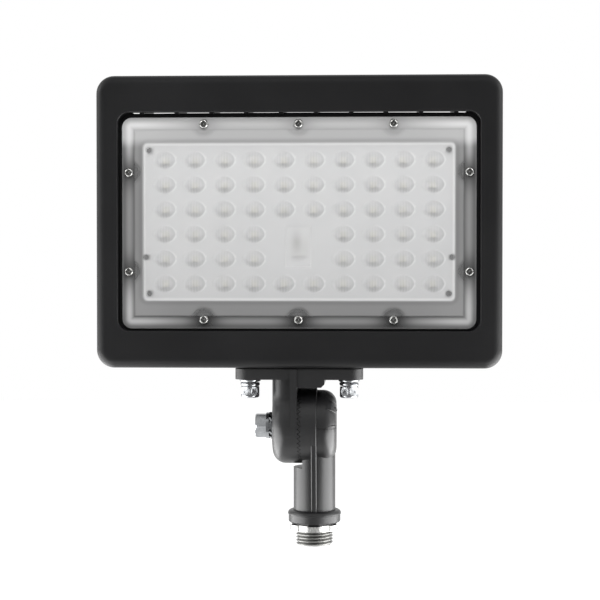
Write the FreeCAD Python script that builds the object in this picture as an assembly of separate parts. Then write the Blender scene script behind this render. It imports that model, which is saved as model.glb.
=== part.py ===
import FreeCAD, Part
import math
import os

# LED flood light: a finned housing with a moulded optic cover, tilting on a toothed knuckle.
# Millimetres, +Z up, +X to the right of someone facing the light, the light shines along -Y.
# The origin lies on the nipple's axis, in the lower face of the lock nut.

# Optic field
lens_columns = 10
lens_rows = 6
lens_pitch_x = 16.6
lens_pitch_z = 13.75
lens_length = 12.4
lens_height = 10.0
lens_rise = 2.8
lens_crown = 0.52
lens_shoulder = 0.84
lens_point = 0.62
pocket_columns = (4, 5)
pocket_rows = (3, 4)
pocket_width = 14.0
pocket_height = 22.4
pocket_depth = 0.7

# Board and emitters
board_margin_x = 12.3
board_margin_z = 9.7
board_thickness = 1.6
board_corner = 2.0
board_screw_inset_x = 3.6
board_screw_inset_z = 4.2
board_notch_width = 3.2
board_notch_depth = 3.6
board_notch_drop = 19.6
board_screw_radius = 1.0
board_screw_head_radius = 1.9
board_screw_head = 1.4
board_screw_bite = 1.8
chip_size = 3.5
chip_thickness = 0.7
connector_width = 8.0
connector_height = 11.0
connector_thickness = 1.9
connector_bevel = 0.6
lead_radius = 0.9
lead_spacing = 3.6
lead_hole_radius = 3.6

# Tray, cover and gasket
cavity_gap_x = 3.0
cavity_gap_z = 6.0
cavity_corner = 4.0
cavity_depth = 3.0
ledge_side = 8.7
ledge_top = 8.15
ledge_bottom = 9.55
cover_corner = 5.6
cover_recess = 4.0
flange_thickness = 2.4
window_step = 6.3
window_rise = 1.0
window_corner = 3.0
scallop_radius = 5.6
gasket_thickness = 1.2
gasket_edge = 0.6
floor_thickness = 3.4

# Cover screws
cover_screw_across = 52.8
cover_screw_up = 27.6
cover_screw_out_x = 4.75
cover_screw_out_z = 4.4
cover_screw_radius = 1.5
cover_screw_head_radius = 2.6
cover_screw_head = 1.9
cover_screw_bite = 1.8

# Bezel and shell
side_gap = 1.9
bottom_gap = 1.1
rim_land = 1.85
slot_height = 0.65
opening_corner = 6.5
opening_edge = 0.8
bezel_side = 12.45
bezel_rail = 20.75
bezel_corner = 10.0
bezel_edge = 5.0
bezel_plate = 3.5
bezel_wall = 3.0
bezel_reach = 26.0
skirt_depth = 18.0
tray_wall = 3.0

# Fins
fin_count = 10
fin_pitch = 19.4
fin_thickness = 2.4
fin_reach = 32.0
fin_drop = 26.0
fin_lid_gap = 0.8

# Rear box
box_width = 112.0
box_height = 100.0
box_corner = 8.0
box_wall = 3.0
box_depth = 30.0
box_floor = 12.0
boss_radius = 4.4
rear_gasket_thickness = 1.0
rear_cover_thickness = 3.0
rear_cover_edge = 1.2
rear_panel_inset = 14.0
rear_panel_rise = 1.6
rear_panel_corner = 6.0
rear_panel_bevel = 0.8
rear_screw_inset = 5.6
rear_screw_radius = 2.0
rear_screw_head_radius = 3.8
rear_screw_head = 2.4
rear_screw_bite = 7.4
driver_side_gap = 2.0
driver_headroom = 15.0
driver_back_gap = 8.0
driver_edge = 3.0
driver_ear = 9.0
driver_ear_thickness = 2.0
driver_lift = 8.0
driver_screw_radius = 1.5
driver_screw_bite = 2.2

# Knuckle base
knuckle_radius = 21.5
base_gasket_thickness = 0.8
base_gasket_inset = 1.0
base_width = 72.0
base_depth = 40.0
base_corner = 7.0
base_thickness = 5.9
leg_thickness = 15.4
leg_edge = 7.5
leg_neck = 16.0
leg_neck_round = 12.0
flange_width = 3.8
block_reach = 14.3
block_height = 4.4
block_gap = 1.5
block_bevel = 1.8
wire_hole_radius = 6.0
wire_hole_offset = 8.0

# Teeth of the knuckle
tooth_count = 48
tooth_height = 1.8
tooth_inner_radius = 12.5
tooth_play = 0.4
hub_radius = 6.8
hub_relief = 1.0
wireway_depth = 7.0

# Knuckle stem
stem_offset = 8.2
stem_rise = 48.0
stem_radius = 11.95
disc_thickness = 9.8
dome_thickness = 11.0
dome_step = 1.2
dome_edge = 7.5
edge_round = 0.5
groove_width = 0.6
groove_depth = 0.4
heel_gap = 2.1
heel_side = 1.6
web_thickness = 3.0
web_top_inset = 0.8
web_top_drop = 6.0
web_foot = 13.0
collar_radius = 14.8
collar_height = 7.9
collar_round = 2.0
collar_bevel = 1.6
collar_lip = 0.4
collar_lip_height = 2.6
stem_bore_radius = 6.5

# Nipple and lock nut
nipple_radius = 10.5
nipple_engaged_radius = 10.2
nipple_bore_radius = 7.6
nipple_free_length = 8.6
nipple_bevel = 0.9
nipple_seat = 8.0
locknut_thickness = 3.2
locknut_radius = 12.6
locknut_lug_radius = 14.3
locknut_lugs = 6
locknut_lug_width = 6.4
locknut_gap = 0.2

# Pivot bolt and washers
pivot_radius = 4.0
pivot_head_flats = 13.0
pivot_head = 6.2
pivot_head_bevel = 1.1
pivot_tip_reach = 16.0
pivot_washer_radius = 7.4
pivot_washer_thickness = 1.6
tooth_washer_radius = 7.6
tooth_washer_root = 5.9
tooth_washer_plate = 1.0
tooth_washer_teeth = 12
tooth_washer_tooth_width = 2.3
tooth_washer_twist = 35.0

# Base bolts and washers
base_bolt_end = 8.0
base_bolt_edge = 12.0
base_bolt_radius = 3.0
base_bolt_head_radius = 5.2
base_bolt_head = 6.4
base_bolt_head_round = 0.6
base_bolt_socket = 5.0
base_bolt_socket_depth = 3.2
base_bolt_bite = 9.4
base_washer_radius = 6.0
base_washer_thickness = 1.8
base_washer_round = 0.4
spring_washer_radius = 5.5
spring_washer_thickness = 2.6
spring_washer_round = 0.7
spring_washer_split = 1.2
spring_washer_tilt = 30.0

# Fits
thread_clearance = 0.05
running_clearance = 0.06
washer_play = 0.1
bolt_clearance = 0.4
screw_tip_gap = 0.4
small_head_round = 0.45
overlap = 0.6
same_plane = 1e-6
diagonal = math.sqrt(0.5)

# Heights and planes worked out from the sizes above
collar_bottom = locknut_thickness + locknut_gap
collar_top = collar_bottom + collar_height
pivot_z = collar_top + stem_rise
block_bottom = pivot_z + knuckle_radius + block_gap
base_bottom = block_bottom + block_height
base_top = base_bottom + base_thickness
housing_bottom = base_top + base_gasket_thickness
centre_x = -stem_offset

board_width = (lens_columns - 1) * lens_pitch_x + 2 * board_margin_x
board_height = (lens_rows - 1) * lens_pitch_z + 2 * board_margin_z
cavity_width = board_width + 2 * cavity_gap_x
cavity_height = board_height + 2 * cavity_gap_z
cover_width = cavity_width + 2 * ledge_side
opening_width = cover_width + 2 * side_gap
bezel_width = opening_width + 2 * bezel_side

opening_bottom = housing_bottom + bezel_rail
cover_bottom = opening_bottom + bottom_gap
field_z = cover_bottom + ledge_bottom + cavity_height / 2
cover_top = field_z + cavity_height / 2 + ledge_top
rim_top = cover_top + rim_land
opening_top = rim_top + slot_height
housing_top = opening_top + bezel_rail

front_y = -bezel_reach
plate_back_y = front_y + bezel_plate
skirt_back_y = front_y + skirt_depth
flange_front_y = front_y + cover_recess
window_front_y = flange_front_y - window_rise
flange_back_y = flange_front_y + flange_thickness
ledge_y = flange_back_y + gasket_thickness
cavity_floor_y = ledge_y + cavity_depth
floor_back_y = cavity_floor_y + floor_thickness
fin_back_y = floor_back_y + fin_reach
box_back_y = floor_back_y + box_depth
rear_seat_y = box_back_y + rear_gasket_thickness
rear_face_y = rear_seat_y + rear_cover_thickness
board_front_y = cavity_floor_y - board_thickness
pivot_seat_x = centre_x - leg_thickness
half_tooth = tooth_height / 2 + tooth_play / 2
dome_radius = knuckle_radius - dome_step
twist = math.radians(tooth_washer_twist)
tooth_washer_height = tooth_washer_tooth_width * math.sin(twist) + tooth_washer_plate * math.cos(twist)
pivot_washer_x = pivot_seat_x - washer_play - tooth_washer_height
pivot_head_x = pivot_washer_x - pivot_washer_thickness
driver_width = box_width - 2 * (box_wall + driver_side_gap + driver_ear)
driver_height = box_height - box_floor - box_wall - driver_lift - driver_headroom
driver_depth = box_depth - driver_back_gap


def vec(x, y, z):
    """Point or direction."""
    return FreeCAD.Vector(x, y, z)


def block(x0, x1, y0, y1, z0, z1):
    """Box between two corners."""
    return Part.makeBox(x1 - x0, y1 - y0, z1 - z0, vec(x0, y0, z0))


def rod_x(radius, x0, x1, y, z):
    """Cylinder along X."""
    return Part.makeCylinder(radius, x1 - x0, vec(x0, y, z), vec(1, 0, 0))


def rod_y(radius, y0, y1, x, z):
    """Cylinder along Y."""
    return Part.makeCylinder(radius, y1 - y0, vec(x, y0, z), vec(0, 1, 0))


def rod_z(radius, z0, z1, x, y):
    """Cylinder along Z."""
    return Part.makeCylinder(radius, z1 - z0, vec(x, y, z0), vec(0, 0, 1))


def rounded_wire(x0, x1, z0, z1, radius):
    """Rectangle with round corners in the plane Y = 0."""
    turn = radius * (1 - diagonal)
    corners = [
        ((x0, z0 + radius), (x0 + turn, z0 + turn), (x0 + radius, z0)),
        ((x1 - radius, z0), (x1 - turn, z0 + turn), (x1, z0 + radius)),
        ((x1, z1 - radius), (x1 - turn, z1 - turn), (x1 - radius, z1)),
        ((x0 + radius, z1), (x0 + turn, z1 - turn), (x0, z1 - radius)),
    ]
    edges = []
    for index, (start, middle, end) in enumerate(corners):
        points = [vec(x, 0, z) for x, z in (start, middle, end)]
        edges.append(Part.Arc(*points).toShape())
        next_start = corners[(index + 1) % 4][0]
        edges.append(Part.makeLine(points[2], vec(next_start[0], 0, next_start[1])))
    return Part.Wire(edges)


def slab(x0, x1, z0, z1, radius, y0, y1):
    """Round-cornered plate that lies across Y."""
    face = Part.Face(rounded_wire(x0, x1, z0, z1, radius))
    face.translate(vec(0, y0, 0))
    return face.extrude(vec(0, y1 - y0, 0))


def centred_slab(width, height, radius, y0, y1, centre_z):
    """Round-cornered plate on the housing's centre plane."""
    half_w = width / 2
    half_h = height / 2
    return slab(centre_x - half_w, centre_x + half_w, centre_z - half_h, centre_z + half_h, radius, y0, y1)


def flat_plate(width, depth, radius, z0, z1):
    """Round-cornered plate that lies across Z, on the housing's centre plane."""
    plate = slab(-width / 2, width / 2, -depth / 2, depth / 2, radius, 0, z1 - z0)
    plate.rotate(vec(0, 0, 0), vec(1, 0, 0), 90)
    plate.translate(vec(centre_x, 0, z0))
    return plate


def edges_at(shape, axis, place):
    """Edges of a shape that lie wholly in one plane across X, Y or Z."""
    found = []
    for edge in shape.Edges:
        low = getattr(edge.BoundBox, axis + "Min")
        high = getattr(edge.BoundBox, axis + "Max")
        if abs(low - place) < same_plane and abs(high - place) < same_plane:
            found.append(edge)
    return found


def fuse(first, others):
    """One solid from several that touch or overlap."""
    return first.multiFuse(list(others)).removeSplitter()


def cut(shape, tools):
    """Shape with every tool taken away."""
    return shape.cut(Part.makeCompound(list(tools)))


def spun(points, origin, axis):
    """Solid of revolution of an outline given as (radius, height along the axis)."""
    outline = [vec(radius, 0, height) for radius, height in points]
    face = Part.Face(Part.makePolygon(outline + outline[:1]))
    solid = face.revolve(vec(0, 0, 0), vec(0, 0, 1), 360)
    solid.Placement = FreeCAD.Placement(origin, FreeCAD.Rotation(vec(0, 0, 1), axis))
    return solid


def pan_screw(radius, grip, head_radius, head, seat, axis):
    """Pan-head screw; the axis points from the seat out through the head."""
    outline = [
        (0, -grip),
        (radius, -grip),
        (radius, 0),
        (head_radius, 0),
        (head_radius, head - 2 * small_head_round),
        (head_radius - 2 * small_head_round, head),
        (0, head),
    ]
    return spun(outline, seat, axis)


def hex_bar(flats, height):
    """Hexagon bar that stands on the origin along Z."""
    corner = flats / math.sqrt(3)
    points = []
    for index in range(6):
        angle = math.radians(60 * index)
        points.append(vec(corner * math.cos(angle), corner * math.sin(angle), 0))
    return Part.Face(Part.makePolygon(points + points[:1])).extrude(vec(0, 0, height))


def hex_head(flats, height, bevel, seat, axis):
    """Hexagon head with bevelled corners, standing on its seat along the axis."""
    corner = flats / math.sqrt(3)
    cone = spun([(0, 0), (corner, 0), (corner, height - bevel), (flats / 2, height), (0, height)],
                vec(0, 0, 0), vec(0, 0, 1))
    head = hex_bar(flats, height).common(cone)
    head.Placement = FreeCAD.Placement(seat, FreeCAD.Rotation(vec(0, 0, 1), axis))
    return head


def lens_places():
    """Centres of the lenses, leaving out the pocket in the middle."""
    places = []
    for row in range(lens_rows):
        for column in range(lens_columns):
            if row in pocket_rows and column in pocket_columns:
                continue
            x = centre_x + (column - (lens_columns - 1) / 2) * lens_pitch_x
            z = field_z + ((lens_rows - 1) / 2 - row) * lens_pitch_z
            places.append((x, z))
    return places


def pocket_centre():
    """Middle of the pocket, from the rows and columns that it takes."""
    column = sum(pocket_columns) / len(pocket_columns)
    row = sum(pocket_rows) / len(pocket_rows)
    x = centre_x + (column - (lens_columns - 1) / 2) * lens_pitch_x
    z = field_z + ((lens_rows - 1) / 2 - row) * lens_pitch_z
    return x, z


def cover_screw_places():
    """Three screws along the top and the bottom, two along each side."""
    side_x = cavity_width / 2 + cover_screw_out_x
    side_z = cavity_height / 2 + cover_screw_out_z
    places = []
    for sign in (-1, 1):
        for across in (-cover_screw_across, 0, cover_screw_across):
            places.append((centre_x + across, field_z + sign * side_z))
        for up in (-cover_screw_up, cover_screw_up):
            places.append((centre_x + sign * side_x, field_z + up))
    return places


def board_screw_places():
    """One screw near each corner of the board."""
    half_x = board_width / 2 - board_screw_inset_x
    half_z = board_height / 2 - board_screw_inset_z
    return [(centre_x + sx * half_x, field_z + sz * half_z) for sx in (-1, 1) for sz in (-1, 1)]


def rear_screw_places():
    """Corners of the rear box and the middle of its top and bottom."""
    half_x = box_width / 2 - rear_screw_inset
    low = housing_bottom + rear_screw_inset
    high = housing_bottom + box_height - rear_screw_inset
    return [(centre_x + across, z) for across in (-half_x, 0, half_x) for z in (low, high)]


def driver_screw_places():
    """One screw in each ear of the driver."""
    half_x = driver_width / 2 + driver_ear / 2
    return [(centre_x + sign * half_x, driver_centre_z()) for sign in (-1, 1)]


def driver_centre_z():
    """Middle of the driver, above the floor of the rear box."""
    return housing_bottom + box_floor + driver_lift + driver_height / 2


def base_bolt_places():
    """The two screws of the knuckle plate, in line across it and forward of its middle."""
    across = base_width / 2 - base_bolt_end
    forward = base_depth / 2 - base_bolt_edge
    return [(centre_x - across, -forward), (centre_x + across, -forward)]


def fin_places():
    """Middles of the fins, spread evenly about the centre plane."""
    return [centre_x + (index - (fin_count - 1) / 2) * fin_pitch for index in range(fin_count)]


def fin(x):
    """One fin: ties bezel, skirt and tray together and rounds off towards the back."""
    front = plate_back_y - overlap
    inner_top = housing_top - bezel_wall / 2
    inner_bottom = housing_bottom + bezel_wall / 2
    spine = floor_back_y - overlap
    low_step = opening_bottom - tray_wall / 2
    middle_y = skirt_back_y + (fin_back_y - skirt_back_y) * diagonal
    middle_drop = fin_drop * (1 - diagonal)
    top_arc = Part.Arc(vec(0, skirt_back_y, inner_top), vec(0, middle_y, inner_top - middle_drop),
                       vec(0, fin_back_y, inner_top - fin_drop)).toShape()
    bottom_arc = Part.Arc(vec(0, fin_back_y, inner_bottom + fin_drop),
                          vec(0, middle_y, inner_bottom + middle_drop),
                          vec(0, skirt_back_y, inner_bottom)).toShape()
    rest = [
        (skirt_back_y, inner_bottom),
        (front, inner_bottom),
        (front, low_step),
        (spine, low_step),
        (spine, rim_top - overlap),
        (ledge_y + overlap, rim_top - overlap),
        (ledge_y + overlap, rim_top),
        (front, rim_top),
        (front, inner_top),
        (skirt_back_y, inner_top),
    ]
    lines = Part.makePolygon([vec(0, y, z) for y, z in rest]).Edges
    back = Part.makeLine(vec(0, fin_back_y, inner_top - fin_drop),
                         vec(0, fin_back_y, inner_bottom + fin_drop))
    face = Part.Face(Part.Wire(Part.sortEdges([top_arc, back, bottom_arc] + lines)[0]))
    face.translate(vec(x - fin_thickness / 2, 0, 0))
    return face.extrude(vec(fin_thickness, 0, 0))


def bezel():
    """Picture frame: a pan with a rounded front edge, open at the back, and its opening."""
    height = housing_top - housing_bottom
    middle = (housing_top + housing_bottom) / 2
    pan = centred_slab(bezel_width, height, bezel_corner, front_y, skirt_back_y, middle)
    pan = pan.makeFillet(bezel_edge, edges_at(pan, "Y", front_y))
    hollow = centred_slab(bezel_width - 2 * bezel_wall, height - 2 * bezel_wall, bezel_corner - bezel_wall,
                          plate_back_y, skirt_back_y, middle)
    frame = pan.cut(hollow)
    half = opening_width / 2
    opening = slab(centre_x - half, centre_x + half, opening_bottom, opening_top, opening_corner,
                   front_y, plate_back_y)
    frame = frame.cut(opening)
    reach = half + overlap
    lip = [edge for edge in edges_at(frame, "Y", front_y)
           if edge.BoundBox.XMin > centre_x - reach and edge.BoundBox.XMax < centre_x + reach]
    return frame.makeFillet(opening_edge, lip)


def tray():
    """Heat-spreading plate behind the opening, with a wall up to the bezel except along the top."""
    half = opening_width / 2
    outer = half + tray_wall
    low = opening_bottom - tray_wall
    plate = slab(centre_x - outer, centre_x + outer, low, rim_top, opening_corner, ledge_y, floor_back_y)
    wall = slab(centre_x - outer, centre_x + outer, low, opening_top + tray_wall,
                opening_corner + tray_wall, plate_back_y - overlap, ledge_y + overlap)
    inside = slab(centre_x - half, centre_x + half, opening_bottom, opening_top, opening_corner,
                  plate_back_y - overlap, ledge_y + overlap)
    above = block(centre_x - half + opening_corner, centre_x + half - opening_corner,
                  plate_back_y - overlap, ledge_y + overlap, rim_top, opening_top + 2 * tray_wall)
    wall = wall.cut(inside).cut(above)
    return fuse(plate, [wall])


def housing():
    """Die-cast body: bezel, tray, fins and rear box in one casting."""
    half_box = box_width / 2
    rear_box = slab(centre_x - half_box, centre_x + half_box, housing_bottom, housing_bottom + box_height,
                    box_corner, floor_back_y - overlap, box_back_y)
    pad = block(centre_x - half_box + box_corner, centre_x + half_box - box_corner,
                plate_back_y - overlap, floor_back_y,
                housing_bottom + bezel_wall / 2, housing_bottom + box_floor)
    lid_edge = half_box + fin_lid_gap
    lid_room = slab(centre_x - lid_edge, centre_x + lid_edge, housing_bottom - fin_lid_gap,
                    housing_bottom + box_height + fin_lid_gap, box_corner + fin_lid_gap,
                    box_back_y, max(fin_back_y, box_back_y) + overlap)
    fins = [fin(x).cut(lid_room) for x in fin_places()]
    body = fuse(bezel(), [tray(), rear_box, pad] + fins)

    inner = half_box - box_wall
    room = slab(centre_x - inner, centre_x + inner, housing_bottom + box_floor,
                housing_bottom + box_height - box_wall, box_corner - box_wall, floor_back_y, box_back_y)
    bosses = [rod_y(boss_radius, floor_back_y, box_back_y, x, z) for x, z in rear_screw_places()]
    room = cut(room, bosses)
    cavity = centred_slab(cavity_width, cavity_height, cavity_corner, ledge_y, cavity_floor_y, field_z)
    pocket_x, pocket_z = pocket_centre()
    tools = [room, cavity, rod_y(lead_hole_radius, cavity_floor_y, floor_back_y, pocket_x, pocket_z)]
    for x, z in cover_screw_places():
        tools.append(rod_y(cover_screw_radius + thread_clearance, ledge_y,
                           ledge_y + cover_screw_bite + screw_tip_gap, x, z))
    for x, z in board_screw_places():
        tools.append(rod_y(board_screw_radius + thread_clearance, cavity_floor_y,
                           cavity_floor_y + board_screw_bite + screw_tip_gap, x, z))
    for x, z in rear_screw_places():
        tools.append(rod_y(rear_screw_radius + thread_clearance,
                           box_back_y - rear_screw_bite - screw_tip_gap, box_back_y, x, z))
    for x, z in driver_screw_places():
        tools.append(rod_y(driver_screw_radius + thread_clearance,
                           floor_back_y - driver_screw_bite - screw_tip_gap, floor_back_y, x, z))
    for x, y in base_bolt_places():
        tools.append(rod_z(base_bolt_radius + thread_clearance, housing_bottom,
                           housing_bottom + base_bolt_bite + screw_tip_gap, x, y))
    tools.append(rod_z(wire_hole_radius, housing_bottom, housing_bottom + box_floor,
                       centre_x - wire_hole_offset, 0))
    return cut(body, tools)


def lens(x, z):
    """One optic: an eight-sided mound, longer across than high, drawn in towards its crown."""
    tiers = [
        (1.0, window_front_y + overlap),
        (1.0, window_front_y),
        (lens_shoulder, window_front_y - lens_rise * lens_point),
        (lens_crown, window_front_y - lens_rise),
    ]
    wires = []
    for scale, y in tiers:
        half_x = scale * lens_length / 2
        half_z = scale * lens_height / 2
        flat_x = half_x * (math.sqrt(2) - 1)
        flat_z = half_z * (math.sqrt(2) - 1)
        ring = [(half_x, flat_z), (flat_x, half_z), (-flat_x, half_z), (-half_x, flat_z),
                (-half_x, -flat_z), (-flat_x, -half_z), (flat_x, -half_z), (half_x, -flat_z)]
        points = [vec(x + dx, y, z + dz) for dx, dz in ring]
        wires.append(Part.makePolygon(points + points[:1]))
    return Part.makeLoft(wires, True, True)


def lens_cover():
    """Moulded cover: flange, raised window with scallops round the screws, lenses and pocket."""
    half = cover_width / 2
    flange = slab(centre_x - half, centre_x + half, cover_bottom, cover_top, cover_corner,
                  flange_front_y, flange_back_y)
    window = slab(centre_x - half + window_step, centre_x + half - window_step, cover_bottom + window_step,
                  cover_top - window_step, window_corner, window_front_y, flange_front_y + overlap)
    scallops = [rod_y(scallop_radius, window_front_y, flange_front_y, x, z)
                for x, z in cover_screw_places()]
    cover = fuse(flange, [cut(window, scallops)] + [lens(x, z) for x, z in lens_places()])
    pocket_x, pocket_z = pocket_centre()
    pocket = block(pocket_x - pocket_width / 2, pocket_x + pocket_width / 2,
                   window_front_y, window_front_y + pocket_depth,
                   pocket_z - pocket_height / 2, pocket_z + pocket_height / 2)
    holes = [rod_y(cover_screw_radius + bolt_clearance, flange_front_y, flange_back_y, x, z)
             for x, z in cover_screw_places()]
    return cut(cover, [pocket] + holes)


def lens_gasket():
    """Flat ring between the cover's flange and the tray."""
    half = cover_width / 2 - gasket_edge
    sheet = slab(centre_x - half, centre_x + half, cover_bottom + gasket_edge, cover_top - gasket_edge,
                 cover_corner, flange_back_y, ledge_y)
    middle = centred_slab(cavity_width, cavity_height, cavity_corner, flange_back_y, ledge_y, field_z)
    holes = [rod_y(cover_screw_radius + bolt_clearance, flange_back_y, ledge_y, x, z)
             for x, z in cover_screw_places()]
    return cut(sheet, [middle] + holes)


def lens_screws():
    """Ten screws of the cover."""
    grip = flange_thickness + gasket_thickness + cover_screw_bite
    return [pan_screw(cover_screw_radius, grip, cover_screw_head_radius, cover_screw_head,
                      vec(x, flange_front_y, z), vec(0, -1, 0)) for x, z in cover_screw_places()]


def led_board():
    """Board with a wire hole, corner holes and a notch at each end."""
    board = centred_slab(board_width, board_height, board_corner, board_front_y, cavity_floor_y, field_z)
    pocket_x, pocket_z = pocket_centre()
    tools = [rod_y(lead_hole_radius, board_front_y, cavity_floor_y, pocket_x, pocket_z)]
    for x, z in board_screw_places():
        tools.append(rod_y(board_screw_radius + bolt_clearance, board_front_y, cavity_floor_y, x, z))
    notch_z = field_z - board_notch_drop
    for sign in (-1, 1):
        end = centre_x + sign * board_width / 2
        tools.append(block(end - board_notch_depth, end + board_notch_depth, board_front_y, cavity_floor_y,
                           notch_z - board_notch_width / 2, notch_z + board_notch_width / 2))
    return cut(board, tools)


def led_chips():
    """One emitter under each lens."""
    half = chip_size / 2
    return [block(x - half, x + half, board_front_y - chip_thickness, board_front_y, z - half, z + half)
            for x, z in lens_places()]


def board_screws():
    """Four screws that hold the board to the tray floor."""
    grip = board_thickness + board_screw_bite
    return [pan_screw(board_screw_radius, grip, board_screw_head_radius, board_screw_head,
                      vec(x, board_front_y, z), vec(0, -1, 0)) for x, z in board_screw_places()]


def board_connector():
    """Push-in connector over the board's wire hole, with its top edges bevelled."""
    x, z = pocket_centre()
    top = board_front_y - connector_thickness
    body = block(x - connector_width / 2, x + connector_width / 2, top, board_front_y,
                 z - connector_height / 2, z + connector_height / 2)
    return body.makeChamfer(connector_bevel, edges_at(body, "Y", top))


def board_leads():
    """Two leads from the connector straight back to the driver."""
    x, z = pocket_centre()
    return [rod_y(lead_radius, board_front_y, floor_back_y, x, z + sign * lead_spacing / 2)
            for sign in (-1, 1)]


def driver():
    """Potted power supply with two fixing ears."""
    z = driver_centre_z()
    case = block(centre_x - driver_width / 2, centre_x + driver_width / 2, floor_back_y,
                 floor_back_y + driver_depth, z - driver_height / 2, z + driver_height / 2)
    case = case.makeFillet(driver_edge, edges_at(case, "Y", floor_back_y + driver_depth))
    reach = driver_width / 2 + driver_ear
    ears = slab(centre_x - reach, centre_x + reach, z - driver_ear, z + driver_ear, driver_edge,
                floor_back_y, floor_back_y + driver_ear_thickness)
    ear_top = floor_back_y + driver_ear_thickness
    holes = [rod_y(driver_screw_radius + bolt_clearance, floor_back_y, ear_top, x, ear_z)
             for x, ear_z in driver_screw_places()]
    return cut(fuse(case, [ears]), holes)


def driver_screws():
    """Screws of the driver's ears."""
    grip = driver_ear_thickness + driver_screw_bite
    return [pan_screw(driver_screw_radius, grip, cover_screw_head_radius, cover_screw_head,
                      vec(x, floor_back_y + driver_ear_thickness, z), vec(0, 1, 0))
            for x, z in driver_screw_places()]


def rear_gasket():
    """Ring with screw eyes between the rear box and its cover."""
    half = box_width / 2
    top = housing_bottom + box_height
    sheet = slab(centre_x - half, centre_x + half, housing_bottom, top, box_corner, box_back_y, rear_seat_y)
    inner = half - box_wall
    middle = slab(centre_x - inner, centre_x + inner, housing_bottom + box_floor, top - box_wall,
                  box_corner - box_wall, box_back_y, rear_seat_y)
    eyes = [rod_y(boss_radius, box_back_y, rear_seat_y, x, z) for x, z in rear_screw_places()]
    holes = [rod_y(rear_screw_radius + bolt_clearance, box_back_y, rear_seat_y, x, z)
             for x, z in rear_screw_places()]
    return cut(sheet, [cut(middle, eyes)] + holes)


def rear_cover():
    """Lid of the rear box with a raised panel."""
    half = box_width / 2
    top = housing_bottom + box_height
    lid = slab(centre_x - half, centre_x + half, housing_bottom, top, box_corner, rear_seat_y, rear_face_y)
    lid = lid.makeFillet(rear_cover_edge, edges_at(lid, "Y", rear_face_y))
    inset = half - rear_panel_inset
    panel = slab(centre_x - inset, centre_x + inset,
                 housing_bottom + rear_panel_inset, top - rear_panel_inset,
                 rear_panel_corner, rear_face_y - overlap, rear_face_y + rear_panel_rise)
    panel = panel.makeChamfer(rear_panel_bevel, edges_at(panel, "Y", rear_face_y + rear_panel_rise))
    holes = [rod_y(rear_screw_radius + bolt_clearance, rear_seat_y, rear_face_y, x, z)
             for x, z in rear_screw_places()]
    return cut(fuse(lid, [panel]), holes)


def rear_cover_screws():
    """Six screws of the rear cover."""
    grip = rear_cover_thickness + rear_gasket_thickness + rear_screw_bite
    return [pan_screw(rear_screw_radius, grip, rear_screw_head_radius, rear_screw_head,
                      vec(x, rear_face_y, z), vec(0, 1, 0)) for x, z in rear_screw_places()]


def zigzag(side):
    """Half space bounded by radial teeth on the knuckle's pivot axis.

    Crests and roots alternate round the axis and fade to nothing at the middle, so every flank
    is flat. Side +1 is the stem's half and -1 the base's half; they share one surface, drawn
    apart by the play between the teeth.
    """
    reach = knuckle_radius + overlap
    slope = tooth_height / 2 / knuckle_radius
    shift = side * tooth_play / 2
    back = side * (leg_thickness + disc_thickness)
    tips = []
    backs = []
    for index in range(2 * tooth_count):
        angle = math.pi * index / tooth_count
        y = reach * math.cos(angle)
        z = reach * math.sin(angle)
        rise = slope * reach * (1 if index % 2 else -1)
        tips.append(vec(rise + shift, y, z))
        backs.append(vec(back, y, z))
    apex = vec(shift, 0, 0)
    faces = [Part.Face(Part.makePolygon(backs + backs[:1]))]
    for index in range(2 * tooth_count):
        follow = (index + 1) % (2 * tooth_count)
        faces.append(Part.Face(Part.makePolygon([apex, tips[index], tips[follow], apex])))
        quad = [tips[index], tips[follow], backs[follow], backs[index], tips[index]]
        faces.append(Part.Face(Part.makePolygon(quad)))
    solid = Part.makeSolid(Part.makeShell(faces))
    if solid.Volume < 0:
        solid.reverse()
    solid.translate(vec(centre_x, 0, pivot_z))
    return solid


def tooth_ring(side):
    """Ring of teeth on one half of the knuckle, with a shallow foot to join it to its disc."""
    foot = centre_x + side * (half_tooth + overlap)
    tip = centre_x - side * half_tooth
    low = min(foot, tip)
    high = max(foot, tip)
    ring = rod_x(knuckle_radius, low, high, 0, pivot_z)
    ring = ring.cut(rod_x(tooth_inner_radius, low, high, 0, pivot_z))
    return ring.common(zigzag(side))


def leg():
    """Leg of the knuckle base: a disc that draws in to a neck under the plate, rounded outside.

    A hollow arc on each side touches both the disc and the neck, so its centre lies one hollow
    radius outside the disc and one outside the neck.
    """
    top = base_top - overlap
    inner_x = centre_x - half_tooth
    hollow_y = leg_neck + leg_neck_round
    hollow_z = math.sqrt((knuckle_radius + leg_neck_round) ** 2 - hollow_y ** 2)
    turn = math.atan2(hollow_z, hollow_y)
    disc_y = knuckle_radius * math.cos(turn)
    disc_z = pivot_z + knuckle_radius * math.sin(turn)
    middle_y = hollow_y - leg_neck_round * math.cos(turn / 2)
    middle_z = pivot_z + hollow_z - leg_neck_round * math.sin(turn / 2)
    neck_z = pivot_z + hollow_z
    edges = [Part.Arc(vec(0, -disc_y, disc_z), vec(0, 0, pivot_z - knuckle_radius),
                      vec(0, disc_y, disc_z)).toShape()]
    for side in (-1, 1):
        edges.append(Part.Arc(vec(0, side * disc_y, disc_z), vec(0, side * middle_y, middle_z),
                              vec(0, side * leg_neck, neck_z)).toShape())
    neck = Part.makePolygon([vec(0, leg_neck, neck_z), vec(0, leg_neck, top),
                             vec(0, -leg_neck, top), vec(0, -leg_neck, neck_z)])
    face = Part.Face(Part.Wire(Part.sortEdges(edges + neck.Edges)[0]))
    face.translate(vec(pivot_seat_x, 0, 0))
    body = face.extrude(vec(inner_x - pivot_seat_x, 0, 0))
    rim = [edge for edge in edges_at(body, "X", pivot_seat_x) if edge.BoundBox.ZMin < top - overlap]
    return body.makeFillet(leg_edge, rim)


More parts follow.
